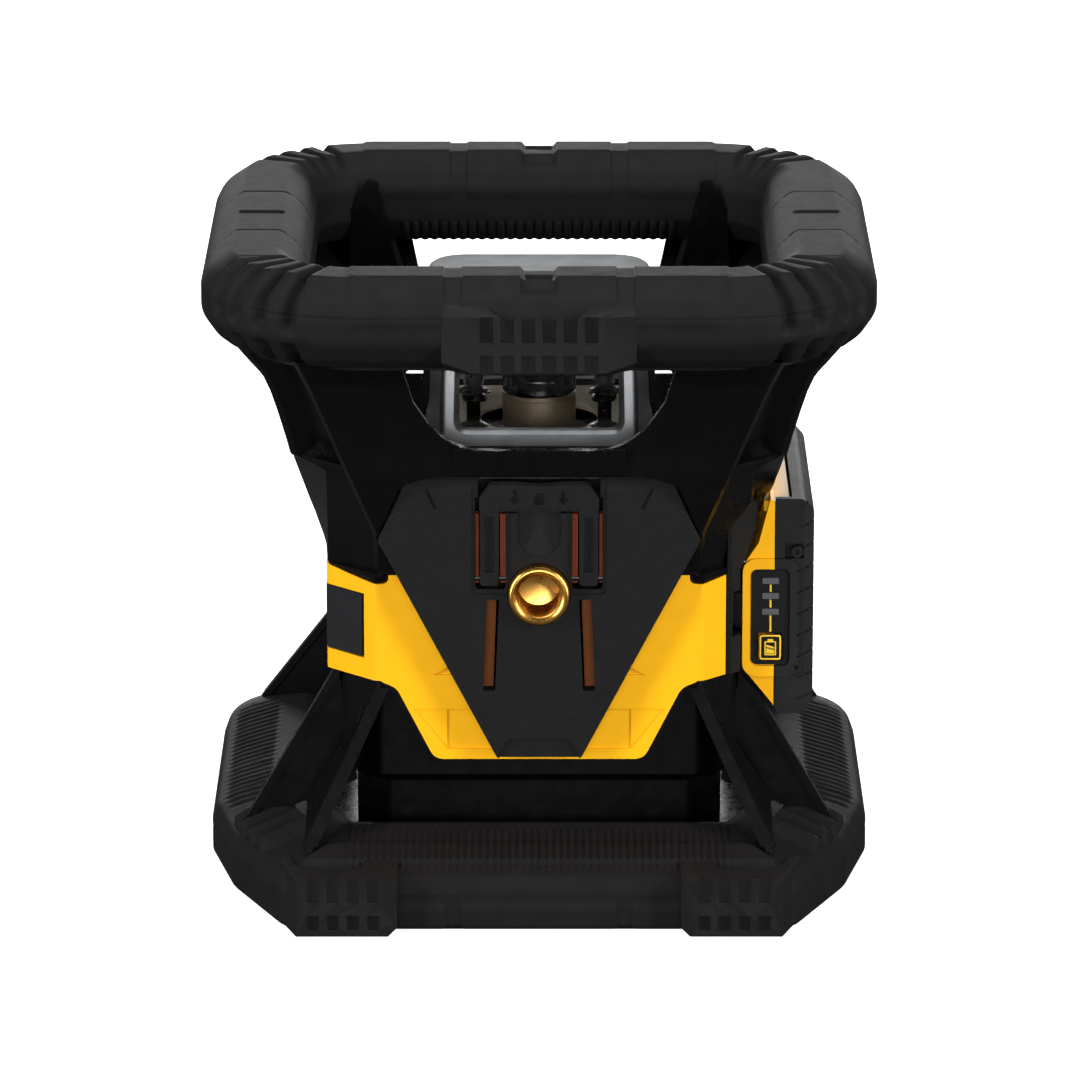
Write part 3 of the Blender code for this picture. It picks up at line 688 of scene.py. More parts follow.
BASE_HALF = high("base_bumper").x
BASE_REAR = high("base_bumper").y
FEET_Y = low("base_bumper").y
BASE_FRONT = FEET_Y + 6.5
BUMPER_WIDTH = 33.0
BUMPER_PROFILE = [(1.3, 0), (0, 1.6), (0, 12.5), (1.8, 17.6), (9, 20.6), (29, 26.8), (33, 26.8), (33, 0)]
BUMPER_ROUNDING = [1, 1.5, 3, 3, 3, 3, 2, 0]
CORNER_RADII = [12, 20, 30, 30, 40, 40, 30, 30, 20, 12]
REAR_CORNERS = (4, 5)
FRONT_EDGE = 9


def bumper_corners(inset):
    """Corners of the base in plan, moved inward by inset."""
    right = [(82.5, BASE_FRONT), (101.0, -62.0), (109.4, -24.0), (BASE_HALF, 10.0), (BASE_HALF, BASE_REAR)]
    outline = [Vector(p) for p in right + [(-x, y) for x, y in reversed(right)]]
    moved = []
    for i, here in enumerate(outline):
        before, after = here - outline[i - 1], outline[(i + 1) % len(outline)] - here
        side_before, side_after = (Vector((-d.y, d.x)).normalized() for d in (before, after))
        moved.append(here + (side_before + side_after) / (1 + side_before.dot(side_after)) * inset)
    return moved


def bumper_loop(inset):
    """Plan of the base at an inset, with the same number of points at each inset."""
    corners, plain = bumper_corners(inset), bumper_corners(0)
    starts, ends = [], []
    for i, (corner, radius) in enumerate(zip(corners, CORNER_RADII)):
        to_last, to_next = corners[i - 1] - corner, corners[(i + 1) % len(corners)] - corner
        reach = max(radius - inset, 0.15 * radius) / math.tan(to_last.angle(to_next) / 2)
        starts.append(corner + to_last.normalized() * reach)
        ends.append(corner + to_next.normalized() * reach)
    points = []
    for i, (start, corner, end) in enumerate(zip(starts, corners, ends)):
        arc = 44 if i in REAR_CORNERS else 14
        for t in (step / arc for step in range(arc + 1)):
            points.append(start * (1 - t) ** 2 + corner * 2 * t * (1 - t) + end * t * t)
        following = (i + 1) % len(corners)
        count = max(1, round((plain[following] - plain[i]).length / (0.5 if i == FRONT_EDGE else 1.2)))
        points += [end.lerp(starts[following], step / count) for step in range(1, count)]
    return np.array([tuple(p) for p in points])


def ripple(value, pitch):
    """A wave between 0 and 1, 0 where the value is 0."""
    return 0.5 - 0.5 * np.cos(2 * np.pi * value / pitch)


def bumper_relief(x, y, inset, z):
    """How far the surface of the base stands off the plain section, in millimetres."""
    relief = np.zeros_like(x)
    top = smooth(z, 16.5, 18.5)
    # Fine ribs across the sides
    side = smooth(np.abs(x), 70, 74) * window(y, -34, 80, 1.5) * window(inset, 5.5, 19.5, 0.7)
    relief += 0.7 * side * top * (ripple(y, 4.7) - 0.5)
    # Fine ribs along the front and the rear
    front = window(np.abs(x), 0, 62, 1.5) * window(inset, 6.5, 27, 0.8) * (np.abs(y) > 60)
    relief += 0.8 * front * top * (ripple(x, 2.4) - 0.5)
    ribbed_panel = window(np.abs(x) + 0.8 * inset, 0, 83, 1.2) * window(inset, 9, 18, 1.2)
    relief += 1.1 * ribbed_panel * (y < -60) * top
    # Ridges across each front corner
    run = (np.abs(x) - 98.8) * -0.41 + (y + 63.2) * -0.91
    zone = window(run, -17, 18, 0.8) * window(inset, 4.5, 21, 1.5) * (y < -35) * (np.abs(x) > 66)
    relief += 3.4 * zone * top * ripple(run + 17, 8.8) ** 0.7
    # A seam round the outer face and raised panels on the front face
    face = 1 - top
    relief -= 0.4 * groove(z, 9.0, 0.8) * face * (y > -60)
    for start, end in ((-1, 24.5), (31, 46)):
        panel = window(np.abs(x), start, end, 1.0) * (y < BASE_FRONT + 2) * window(z, -1, 8.0, 0.8)
        relief += 0.9 * panel * face
    return relief


def base_bumper():
    section = resample(filleted(BUMPER_PROFILE, BUMPER_ROUNDING, 5), 1.3)
    section_normals = outline_normals(section)
    loops = np.array([bumper_loop(inset) for inset in section[:, 0]])
    inset = np.repeat(section[:, 0][:, None], loops.shape[1], 1)
    z = np.repeat(section[:, 1][:, None], loops.shape[1], 1)
    plan_normal = outline_normals(loops[0])
    x, y = loops[:, :, 0], loops[:, :, 1]
    relief = bumper_relief(x, y, inset, z)
    relief[(inset > 31) | (z < 0.6)] = 0
    section_out = -section_normals if section_normals[np.argmin(section[:, 0]), 0] > 0 else section_normals
    x = x - relief * section_out[:, 0][:, None] * plan_normal[None, :, 0]
    y = y - relief * section_out[:, 0][:, None] * plan_normal[None, :, 1]
    z = z + relief * section_out[:, 1][:, None]
    points = np.stack([x, y, z], -1).reshape(-1, 3)
    bumper = piece("base_bumper_rubber", (points, grid_faces(*x.shape)), "rubber", 50)
    return done(bumper, "base_bumper")


def base_feet():
    """Two ribbed blocks at the front corners of the base."""
    corners = [(45.9, FEET_Y, 3), (48.9, FEET_Y, 0.0), (78.8, FEET_Y, 0.0), (78.8, FEET_Y, 19.4),
               (45.9, FEET_Y, 19.4), (45.9, -88, 1), (48.9, -88, 0.0), (86.6, -88, 0.0),
               (85.0, -90, 20.5), (45.9, -88, 22.5), (60, -86, 22.5)]
    scoop = filleted([(57.0, -80), (57.0, -100.0), (61.0, -104.5), (72.0, -104.5), (79.0, -98.5),
                      (84, -80)], [0, 3, 4, 4, 4, 0])
    for name, side in (("left", -1), ("right", 1)):
        foot = piece(f"base_foot_{name}", hull(flip(corners, side)), "rubber")
        columns = [side * (53.6 + 6.5 * k) for k in range(4)]
        pockets(foot, columns, 1.95, ((11.6, 19.5), (2.2, 7.0)), FEET_Y)
        cut(foot, prism([(side * x, y) for x, y in scoop], 18.6, 30))
        done(soften(foot, 0.8), body="root", slot="rubber")


# ---- cage

WALL = 3.2
BODY_HALF = high("housing_shell").y
CHAMFER = 16.0
CAGE_TOP = 188.0
CORNERS = [(side_x, side_y) for side_x in (-1, 1) for side_y in (-1, 1)]
FOLD = 54.4
# The front of the yellow shell dips under each pillar's foot, in x and z
SHELL_DIP = filleted([(49.0, 111.0), (49.0, 107.0), (53.0, 106.7), (62.0, 108.0), (72.0, 109.9),
                      (72.0, 111.0)], [0, 3, 2, 3, 0, 0])


def wall_at(z):
    """How far the pillars' outer faces stand from the middle; they flare into the ring."""
    levels = [(112, BODY_HALF - 0.3), (118, 71.4), (128, 74.8), (136, 77.3), (144, 79.8), (154, 82.0),
              (164, 84.5), (172, 86.8), (178, 89.2), (184, 94.0), (CAGE_TOP, 97.0)]
    return float(np.interp(z, *zip(*levels)))


def ridge_at(z):
    """How far out a flange's face reaches before it turns the corner."""
    return 52.3 + max(0.0, z - 124.0) * 0.393


def inner_at(z):
    """Where a pillar's flange ends: wide at the foot, sweeping into the cross bar, narrow above it."""
    levels = [(108.3, 45.5), (115.0, 49.0), (124.0, 51.6), (134.0, 48.5), (141.0, 45.5), (144.0, 41.0),
              (145.6, 34.0), (146.2, 21.0), (154.0, 21.0), (155.2, 24.5), (157.0, 28.2), (160.0, 32.0),
              (164.0, 35.6), (172.0, 40.5), (CAGE_TOP, 44.6)]
    return float(np.interp(z, *zip(*levels)))


def cage_section(z):
    """Plan of a corner pillar at height z: two flanges and a corner face, set back above the ledge."""
    wall, ridge, inner = wall_at(z), ridge_at(z), inner_at(z)
    back = wall - WALL
    lean = 0.10 * float(smooth(z, 140, 158))
    deep = 0.4 + 6.6 * float(smooth(z, 148.5, 151.0))
    strip = 2.4
    fold = max(inner + 0.8, min(FOLD, ridge - 3))
    half = [(inner, wall - lean * (fold - inner)), (fold, wall), (ridge - 1.6, wall), (ridge, wall - 0.35),
            (ridge + strip * 0.6, wall - strip), (ridge + strip * 0.6 - deep * 0.22, wall - strip - deep)]
    upper = float(smooth(z, 145.5, 149.0))
    turn = ridge - WALL * 0.42 - deep * 0.75
    inside = [(turn, back - deep * 0.6), (fold, back), (inner, back - lean * (fold - inner))]
    inside[0] = (min(inside[0][0], half[5][0] - 2), min(inside[0][1], half[5][1] - 2))
    # The corner face ends at an upright edge below the ledge and at a strip above it
    below = [(69.0, wall - (69.0 - ridge)), (69.4, wall - (70.4 - ridge)), (wall - 0.35, ridge - 8.0),
             (wall, ridge - 9.6)]
    above = [(b, a) for a, b in reversed(half[2:])]
    side = [tuple(a * (1 - upper) + b * upper for a, b in zip(p, q)) for p, q in zip(below, above)]
    side_fold, side_end = min(fold, ridge - 11), min(inner, ridge - 12)
    side += [(wall, side_fold), (wall - lean * (fold - inner), side_end)]
    inner_side = [(inside[2][1], side_end), (inside[1][1], side_fold), inside[0][::-1]]
    return [(x, y, z) for x, y in half + side + inner_side + inside]


def corner_bracket(side_x, side_y):
    """A plate that rises from a pillar's flange along the inner side of the ring."""
    face = RING_MIDDLE - 16.4
    foot = wall_at(160) - 3.4
    plate = [(41.5, foot, 160), (64.0, foot, 160), (54.8, face, 207.5), (57.5, face, 208.5),
             (62.5, face, 198.0)]
    plate += [(x + 1.6, y - 2.6, z) for x, y, z in plate]
    return hull(flip([(x, y + side_y * RING_CENTRE_Y * (z > 170), z) for x, y, z in plate], side_x, side_y))


def upper_cage():
    levels = [107.9, 111, 115, 119, 124, 129, 134, 138, 141, 143, 144.4, 145.4, 146.0, 148.0, 148.9,
              149.8, 151.0, 152.5, 154.0, 154.8, 155.8, 157, 158.5, 160, 162, 164.5, 168, 172, 174.5, 177,
              RAIL_LOW, 183, 186, CAGE_TOP]
    corner = RING_CORNER - RING_WIDTH / 2
    rail = [rounded(RING_MIDDLE + half, RING_MIDDLE + half, corner + half, 10, (0, RING_CENTRE_Y))
            for half in (RAIL_HALF, -RAIL_HALF)]
    cage = piece("upper_cage_frame", hollow(*rail, 185.5, RAIL_HIGH), "black_gloss")
    for sides in CORNERS:
        join(cage, loft([flip(cage_section(z), *sides) for z in levels]))
    start, end = wall_at(146.3), wall_at(155.0)
    bar = [(x, y, z) for x in (-28, 28) for y, z in ((start - 0.2, 146.3), (start - 3.4, 146.3),
                                                     (end - 0.2, 155.0), (end - 3.6, 155.0))]
    for side in (-1, 1):
        join(cage, hull(flip(bar, 1, side)), hull([(side * y, x, z) for x, y, z in bar]))
    for sides in CORNERS:
        join(cage, corner_bracket(*sides))
    plate = filleted([(x * 1.012, z + 0.35) for x, z in PLATE_OUTLINE], 1.5)
    cut(cage, upright(plate, -90, PLATE_BACK + 0.3), pack_path(), box((61.0, -63, 100), (72, 63, 136.6)))
    soften(cage, 0.9, 3, 24)
    return done(merge([cage, pillar_foot(-1), pillar_foot(1)], "upper_cage_frame"), "upper_cage")


def pillar_foot(side):
    """The tip of a front pillar that fills the dip in the yellow shell."""
    outer, inner = body_loop(BODY_HALF - 0.1, 3), body_loop(BODY_HALF - 3.1, 3)
    foot = piece("pillar_foot", hollow(outer, inner, 105.0, 110.2), "black_gloss")
    dip = mirrored([(x + 0.3, z + 0.3) for x, z in SHELL_DIP], side)
    return combine(foot, "INTERSECT", [upright(dip, -80, -54.0)])


# ---- lower chassis

BAND_LOW, BAND_HIGH = 74.0, high("housing_shell").z
APRON_LOW = low("housing_shell").z
LEDGE = 40.0
FIN_THICKNESS = 2.4
INSERT_HOLE = 10.35


def body_loop(half, rounding=4.0, chamfer=CHAMFER):
    """Plan of the body where its sides stand half from the middle; the corner faces move as much."""
    shrunk = chamfer - (BODY_HALF - half) * (2 - math.sqrt(2))
    return filleted(octagon(half, half, shrunk, shrunk), rounding, 5)


def pack_path():
    """The space that the battery pack sweeps through."""
    room = 0.8
    back = PACK_BACK_X + 0.5 - room
    outline = [(back, 73.5 - room), (76.5 - room, 61.5 - room), (78.5 - room, PACK_LOW - room),
               (86.0 + room, PACK_LOW - room), (PACK_X + room, 62.5 - room), (PACK_X + room, 127.5 + room),
               (86.5 + room, PACK_HIGH + room), (75.0 - room, PACK_HIGH + room),
               (70.9 - room, 116.5 + room), (back, 110.0 + room)]
    return upright(outline, -120, 60)


def fin(points, shift, side):
    """Gusset: a thin web, and a thicker bead along its free edge, from the second point to the third."""
    both = points + [tuple(Vector(p) + Vector(shift)) for p in points]
    start, end, inner = Vector(points[1]), Vector(points[2]), Vector(points[-1])
    along = (end - start).normalized()
    inward = (inner - start) - along * (inner - start).dot(along)
    inward = inward.normalized() * 2.3
    extra = Vector(shift) * 0.4
    bead = []
    for point in (start - along * 1.5, end - along * 2.0):
        for step in (point, point + inward):
            bead += [tuple(step - extra), tuple(step + Vector(shift) + extra)]
    return hull(flip(both, side)), hull(flip(bead, side))


def lower_chassis():
    top = BAND_LOW - 0.3
    levels = [(60.0, 10.0), (60.0, LEDGE - 3), (64.5, LEDGE - 0.5), (66.5, LEDGE + 1.2), (66.5, top),
              (62.5, top), (62.5, LEDGE + 2), (56.0, LEDGE - 1), (56.0, 10.0)]
    walls = loft([place(body_loop(half, 5), z) for half, z in levels], True)
    chassis = piece("lower_chassis_frame", walls, "black_gloss")
    floor = bumper_loop(BUMPER_WIDTH + 0.3)[::6].tolist()
    join(chassis, prism(floor, 3.0, 14.0))
    side_fin = [(66.0, -54.2, 73.6), (67.4, -54.2, 73.6), (98.2, -54.2, 19.9), (95.0, -54.2, 20.5),
                (60.0, -54.2, 35.5)]
    front_fin = [(50.5, -63.5, 70.0), (50.5, -69.0, 70.0), (74.0, -91.5, 22.4), (74.0, -58.0, 31.0)]
    rear_fin = [(64.0, 53.0, 70.0), (67.4, 53.0, 68.0), (97.0, 88.0, 21.0), (62.0, 58.0, 22.0)]
    lip = filleted([(51.5, 72.5), (49.0, 71.0), (36.8, 50.6), (33.9, 45.6), (26.0, 45.6), (26.0, 46.9),
                    (33.2, 46.9), (35.6, 51.2), (47.6, 71.7)], 0.3, 2)
    for side in (-1, 1):
        for corners, along_x in ((side_fin, 0), (front_fin, 1), (rear_fin, 0)):
            join(chassis, *fin(corners, (along_x * FIN_THICKNESS, (1 - along_x) * FIN_THICKNESS, 0), side))
        join(chassis, upright(mirrored(lip, side), -67.6, -64.0))
    cut(chassis, rod(INSERT_HOLE, (0, 0), -5, 20), pack_path())
    soften(chassis, 0.8, 3, 24)
    return done(chassis, "lower_chassis")


# ---- yellow shell and housing

def housing_shell():
    front, hem = -BODY_HALF, APRON_LOW + 3.5
    outer, inner = body_loop(BODY_HALF, 3), body_loop(BODY_HALF - 3, 3)
    shell = piece("housing_shell_yellow", hollow(outer, inner, BAND_LOW, BAND_HIGH + 1.8), "yellow")
    half = [(52.3, 77.0), (52.3, BAND_LOW), (46.5, 71.5), (34.2, APRON_LOW)]
    apron = filleted([(-x, z) for x, z in half] + half[::-1], [0, 4, 6, 5, 5, 6, 4, 0])
    join(shell, upright(apron, front, front + 2.6))
    facets = (([(30.6, 64.4), (41.0, 64.4), (30.0, hem), (20.0, hem), (18.0, 64.4)], 0.5),
              ([(30.0, 64.4), (30.0, hem), (12.0, hem), (12.0, 64.4)], 0.9),
              ([(34.5, 76.0), (20.0, 84.0), (20.0, 76.0)], 0.7))
    for side in (-1, 1):
        cut(shell, upright(mirrored(SHELL_DIP, side), -80, -53.8))
        for facet, depth in facets:
            cut(shell, upright(mirrored(facet, side), front - 1, front + depth))
    cut(shell, box((-24, -80, 71.5), (24, -60, 120)), box((61.0, -80, 60), (90, 80, 120)))
    side_hole = [(-57.4, -66.5), (-75, -60), (-75, -19.7), (-60, -19.7), (-60, -52), (-55.0, -62.0)]
    cut(shell, prism(side_hole, 80.7, 102.6))
    soften(shell, 0.5, 3, 24)
    return done(shell, "housing_shell")


def side_insert():
    outline = filleted([(-57.9, -65.1), (-69.7, -53.3), (-69.7, -20.0), (-66.5, -20.0), (-66.5, -52.3),
                        (-56.4, -62.4)], [0.5, 3, 1, 0, 2, 0])
    insert = piece("side_insert_panel", prism(outline, 81.0, 102.3), "pack_black")
    for z in (86.5, 91.7, 96.9):
        cut(insert, box((-75, -46, z - 0.5), (-69.2, -26, z + 0.5)))
    return done(soften(insert, 0.6), "side_insert")


def upper_housing():
    half, top, opening = -low("upper_housing").x, high("upper_housing").z, 24.0
    chamfer = CHAMFER + 1.5
    around = [math.atan2(y, x) for x, y in body_loop(half, 4, chamfer)]

    def row(size, z):
        if size == opening:
            return [(size * math.cos(a), size * math.sin(a), z) for a in around]
        return place(body_loop(size, 4, chamfer), z)

    rows = [row(half, BAND_HIGH + 0.3), row(half, top - 2.0), row(half - 1.2, top), row(opening, top),
            row(opening, top - 3.0), row(half - 4, top - 3.0), row(half - 3, BAND_HIGH + 0.3)]
    housing = piece("upper_housing_shell", loft(rows, True), "black_gloss")
    cut(housing, rod(INSERT_HOLE, (0, THREAD_Z), -80, -58, "XZ"), box((61.0, -70, 100), (90, 70, 136.6)))
    return done(soften(housing, 0.6, 2, 30), "upper_housing")


# ---- side mount

PLATE_FRONT, PLATE_BACK = low("mount_plate").y, -69.9
PLATE_TOP = 143.0
PLATE_OUTLINE = [(13.7, 49.5), (48.0, 115.0), (52.4, 123.1), (43.0, PLATE_TOP), (-43.0, PLATE_TOP),
                 (-52.4, 123.1), (-48.0, 115.0), (-13.7, 49.5)]
THREAD_Z = 105.3
PIN_AXIS = (-73.0, 110.0)


def pin_hole(side):
    return rod(1.5, PIN_AXIS, *sorted((side * 9.5, side * 22.7)), "YZ", 24)


def mount_plate():
    outline = filleted(PLATE_OUTLINE, [1, 0, 2, 4, 4, 2, 0, 1])
    plate = piece("mount_plate_panel", upright(outline, PLATE_FRONT, PLATE_BACK), "black_textured")
    top_chamfer = ((PLATE_FRONT - 4, PLATE_TOP - 3.3), (PLATE_FRONT, PLATE_TOP - 3.3),
                   (PLATE_FRONT - 4, PLATE_TOP + 3), (PLATE_FRONT + 3.4, PLATE_TOP + 3))
    cut(plate, hull([(x, y, z) for x in (-60, 60) for y, z in top_chamfer]))
    join(plate, box((-40, PLATE_BACK - 1, 112), (40, -65.6, 130)))
    tip = filleted([(-12.9, 46), (-12.9, 51.5), (-9.9, 56.0), (9.9, 56.0), (12.9, 51.5), (12.9, 46)],
                   [0, 1, 2, 2, 1, 0])
    cut(plate, upright(tip, PLATE_FRONT - 1, PLATE_FRONT + 1.1), box((-19.9, -80, 132.3), (19.9, -60, 150)),
        rod(INSERT_HOLE, (0, THREAD_Z), -90, -60, "XZ", 96))
    # Thumb scoop between the lever's arms, deepest at its lower end
    arc = [(7.1 * math.cos(a), 125.0 + 7.1 * math.sin(a)) for a in np.linspace(math.pi, 2 * math.pi, 25)]
    arc += [(7.1, 134), (-7.1, 134)]
    floor = [(x, PLATE_FRONT + 0.25 + 2.8 * float(smooth(z, 117.4, 126.0)), z) for x, z in arc]
    cut(plate, loft([place(arc, PLATE_FRONT - 1, "XZ"), floor]))
    arm_step = filleted([(9.3, 105.0), (22.0, 105.0), (22.0, 150), (9.3, 150)], [2.0, 2.0, 0, 0])
    arm_slot = filleted([(10.7, 106.6), (20.7, 106.6), (20.7, 137.5), (10.7, 137.5)], [1.2, 1.2, 0, 0])
    low_slot = [(13.0, 103.2), (16.9, 103.2), (18.2, 72.4), (14.3, 72.4)]
    wing = [(36.0, 140.5), (33.0, 134.0), (34.2, 134.0), (37.2, 140.5)]
    for side in (-1, 1):
        cut(plate, upright(mirrored(arm_step, side), PLATE_FRONT - 1, PLATE_FRONT + 0.8),
            upright(mirrored(arm_slot, side), -80, -60), upright(mirrored(low_slot, side), -80, -60),
            pin_hole(side), upright(mirrored(wing, side), PLATE_FRONT - 1, PLATE_FRONT + 0.8))
    return done(soften(plate, 0.45, 3, 24), "mount_plate")


def painted_shade_strips():
    """Dark orange strips on either side of the lever's arms: painted shade, the yellow housing as it looks
    in shadow behind the slots.
    """
    strips = []
    for side in (-1, 1):
        for start, end in ((10.75, 12.6), (19.5, 20.65)):
            strips.append(piece("strip", side_box(side, (start, end), (PLATE_FRONT + 1.6, PLATE_BACK - 0.4),
                                                  (108.6, 131.8)), "yellow_in_painted_shade"))
    liners = merge([soften(strip, 0.15, 2) for strip in strips], "painted_shade_strips")
    return done(liners, body="root", slot="orange")


def side_thread():
    """Brass insert with a real helical thread."""
    steps, outer, minor, major, pitch = 96, 10.05, 6.8, 7.7, 25.4 / 11
    face, rear = low("side_thread_insert").y, high("side_thread_insert").y
    turn = 2 * math.pi / steps
    plain = [(outer, rear), (outer, face + 1.2), (outer - 0.3, face + 0.5), (outer - 1.0, face),
             (major + 0.75, face), (major + 0.1, face + 0.8)]
    loops = [[radius] * steps for radius, _ in plain]
    levels = [level for _, level in plain]
    for level in np.arange(face + 1.0, rear - 2.4, pitch / 10):
        climb = [abs(((level - face) / pitch - k / steps) % 1 * 2 - 1) for k in range(steps)]
        loops.append([minor + (major - minor) * part for part in climb])
        levels.append(level)
    loops += [[minor] * steps, [0.01] * steps]
    levels += [rear - 2.2, rear - 1.6]
    rows = [[(radius * math.cos(turn * k), level, THREAD_Z + radius * math.sin(turn * k))
             for k, radius in enumerate(loop)] for loop, level in zip(loops, levels)]
    return done(piece("side_thread_brass", loft(rows), "brass", 40), "side_thread_insert")


def arrow(x, z):
    """Arrow that points down."""
    half = [(0.5, 2.4), (0.5, -0.2), (1.8, -0.2)]
    return [(x - a, z + b) for a, b in half] + [(x, z - 2.4)] + [(x + a, z + b) for a, b in half[::-1]]


def lock_lever():
    """Tab on two arms, with icons of two arrows and a padlock."""
    face = low("lock_lever").y
    tab = filleted([(-19.4, 133.0), (19.4, 133.0), (19.4, 137.4), (15.9, 142.0), (8.0, 142.0), (0.0, 141.3),
                    (-8.0, 142.0), (-15.9, 142.0), (-19.4, 137.4)], [1, 1, 2, 2, 2, 4, 2, 2, 2])
    lever = piece("lock_lever_tab", upright(tab, face, face + 4.1), "black_textured")
    arm = filleted([(13.0, 107.8), (19.2, 107.8), (19.2, 134.0), (13.0, 134.0)], [1.5, 1.5, 0, 0])
    for side in (-1, 1):
        join(lever, upright(mirrored(arm, side), face + 0.2, face + 3.9))
        cut(lever, pin_hole(side), side_box(side, (14.6, 17.6), (face - 1, face + 1.2), (112.5, 131.0)))
    cut(lever, box((-13.0, face - 1, 133.4), (13.0, face + 0.35, 134.0)))
    soften(lever, 0.45)
    shackle = [(1.2 * math.cos(a), 137.8 + 1.4 * math.sin(a)) for a in np.linspace(0, math.pi, 13)]
    shackle += [(0.7 * math.cos(a), 137.8 + 0.9 * math.sin(a)) for a in np.linspace(math.pi, 0, 13)]
    icons = [arrow(-7.8, 137.6), arrow(7.8, 137.6), rounded(1.6, 1.35, 0.3, 3, (0, 136.5)), shackle]
    parts = [piece("icon", upright(icon, face - 0.12, face + 0.3), "black_gloss") for icon in icons]
    return done(merge([lever] + parts, "lock_lever_tab"), "lock_lever")


# ---- battery

PACK_BACK_X = 66.0
PACK_X = 90.0
PACK_LOW, PACK_HIGH = low("battery_lower_shell").z, high("battery_lower_shell").z
PACK_FRONT, PACK_REAR = low("battery_lower_shell").y, high("battery_lower_shell").y
SEAM_X = 77.0
GAUGE_X, GAUGE_Z = 75.8, 91.5
# Room for the gauge button, in x and z
BUTTON_BOX = ((71.9, 76.9), (79.7, 86.1))
GAUGE_COLLAR = rounded(9.2, 20.0, 4.5, 6, (GAUGE_X, GAUGE_Z))


def button_room(start, end):
    (x0, z0), (x1, z1) = BUTTON_BOX
    return box((x0, start, z0), (x1, end, z1))


def gauge_panel_outline(half_x, half_z, radius):
    return rounded(half_x, half_z, radius, 5, (GAUGE_X - 0.2, GAUGE_Z))


def gauge_seat(shell, collar):
    """Collar round the gauge, with the recess for its panel and the room for its button."""
    join(shell, upright(collar, PACK_FRONT - 1.6, PACK_FRONT + 2))
    recess = upright(gauge_panel_outline(6.5, 16.5, 2.2), PACK_FRONT - 4, PACK_FRONT - 0.1)
    cut(shell, recess, button_room(PACK_FRONT - 3, PACK_FRONT + 2.6))


def pack_outline():
    """Corners of the pack in x and z, from the rear lower one on."""
    back = PACK_BACK_X + 1.2
    return [(back, 73.5), (76.8, 61.5), (78.5, PACK_LOW), (86.0, PACK_LOW), (PACK_X, 62.5),
            (PACK_X, 127.5), (86.5, PACK_HIGH), (75.6, PACK_HIGH), (71.8, 116.5), (back, 109.6)]


def battery_upper_shell():
    outline = pack_outline()
    yellow = outline[:2] + [(SEAM_X, 60.9), (SEAM_X, PACK_HIGH - 1)] + outline[7:]
    shell = piece("battery_upper_yellow", upright(yellow, PACK_FRONT, PACK_REAR), "yellow")
    cut(shell, box((60, -38, 84.5), (74.8, 60, 103.5)), box((60, -60, 86.0), (72.8, -40.5, 101.0)))
    gauge_seat(shell, [(min(x, SEAM_X), z) for x, z in GAUGE_COLLAR])
    join(shell, box((73.5, PACK_FRONT + 3.2, PACK_HIGH - 5), (81.9, PACK_REAR - 9, PACK_HIGH - 1.6)))
    done(soften(shell, 0.9, 3, 28), "battery_upper_shell")


def battery_lower_shell():
    seam, outside = SEAM_X + 0.3, PACK_X + 3
    black = filleted([(seam, 60.9)] + pack_outline()[2:7] + [(seam, PACK_HIGH)], [0, 2, 3, 4, 4, 3, 0])
    shell = piece("battery_lower_black", upright(black, PACK_FRONT, PACK_REAR), "pack_black")
    gauge_seat(shell, [(max(x, seam), z) for x, z in GAUGE_COLLAR])
    front_chamfer = [(PACK_X - 4.5, PACK_FRONT - 1.2), (PACK_X + 1.2, PACK_FRONT - 1.2),
                     (PACK_X + 1.2, PACK_FRONT + 4.5)]
    cut(shell, box((80.5, PACK_FRONT - 1, 111.3), (86.5, PACK_FRONT + 2.5, 116.4)),
        prism(front_chamfer, 50, 150))
    # Leaning grooves on the outer face, on the front face and across the corner between them
    runs = ((PACK_X - 0.8, PACK_REAR + 3), (PACK_X - 5.5, PACK_FRONT + 0.7),
            (PACK_X - 2.6, PACK_FRONT + 2.6))
    for k in range(10):
        z = 63.5 + 7.3 * k
        for start, end in runs:
            cut(shell, hull([(x, y, z + width + (x - 86) * 0.25) for x in (start, outside)
                             for y in (PACK_FRONT - 3, end) for width in (0, 0.9)]))
    cut(shell, box((SEAM_X - 1, PACK_FRONT + 2.5, PACK_HIGH - 5.4), (82.7, PACK_REAR - 8, PACK_HIGH + 2)))
    for screw in ((84.4, 113.8), (84.4, 74.6)):
        join(shell, rod(1.9, screw, PACK_FRONT - 1.3, PACK_FRONT + 1, "XZ", 24))
        cut(shell, rod(0.95, screw, PACK_FRONT - 2, PACK_FRONT - 0.4, "XZ", 6))
    done(soften(shell, 1.0, 3, 28), "battery_lower_shell")


def gauge():
    face = PACK_FRONT - 0.9
    outline = gauge_panel_outline(6.2, 16.2, 2)
    panel = piece("gauge_panel_face", upright(outline, face, PACK_FRONT - 0.15), "black_textured")
    cut(panel, button_room(-70, -50))
    done(soften(panel, 0.3, 2), "gauge_panel")
    for k, z in enumerate((103.9, 98.8, 93.4)):
        bar = upright(rounded(2.7, 1.0, 0.3, 3, (GAUGE_X, z)), face - 0.15, face + 0.3)
        done(piece(f"gauge_light_{k + 1}", bar, "led"), body="battery_pack", slot="grey")
    for k, (z0, z1) in enumerate(((100.2, 102.6), (94.9, 97.5), (86.6, 92.1))):
        line = box((75.5, face - 0.08, z0), (76.1, face + 0.3, z1))
        done(piece(f"gauge_line_{k + 1}", line, "icon"), body="battery_pack", slot="yellow")


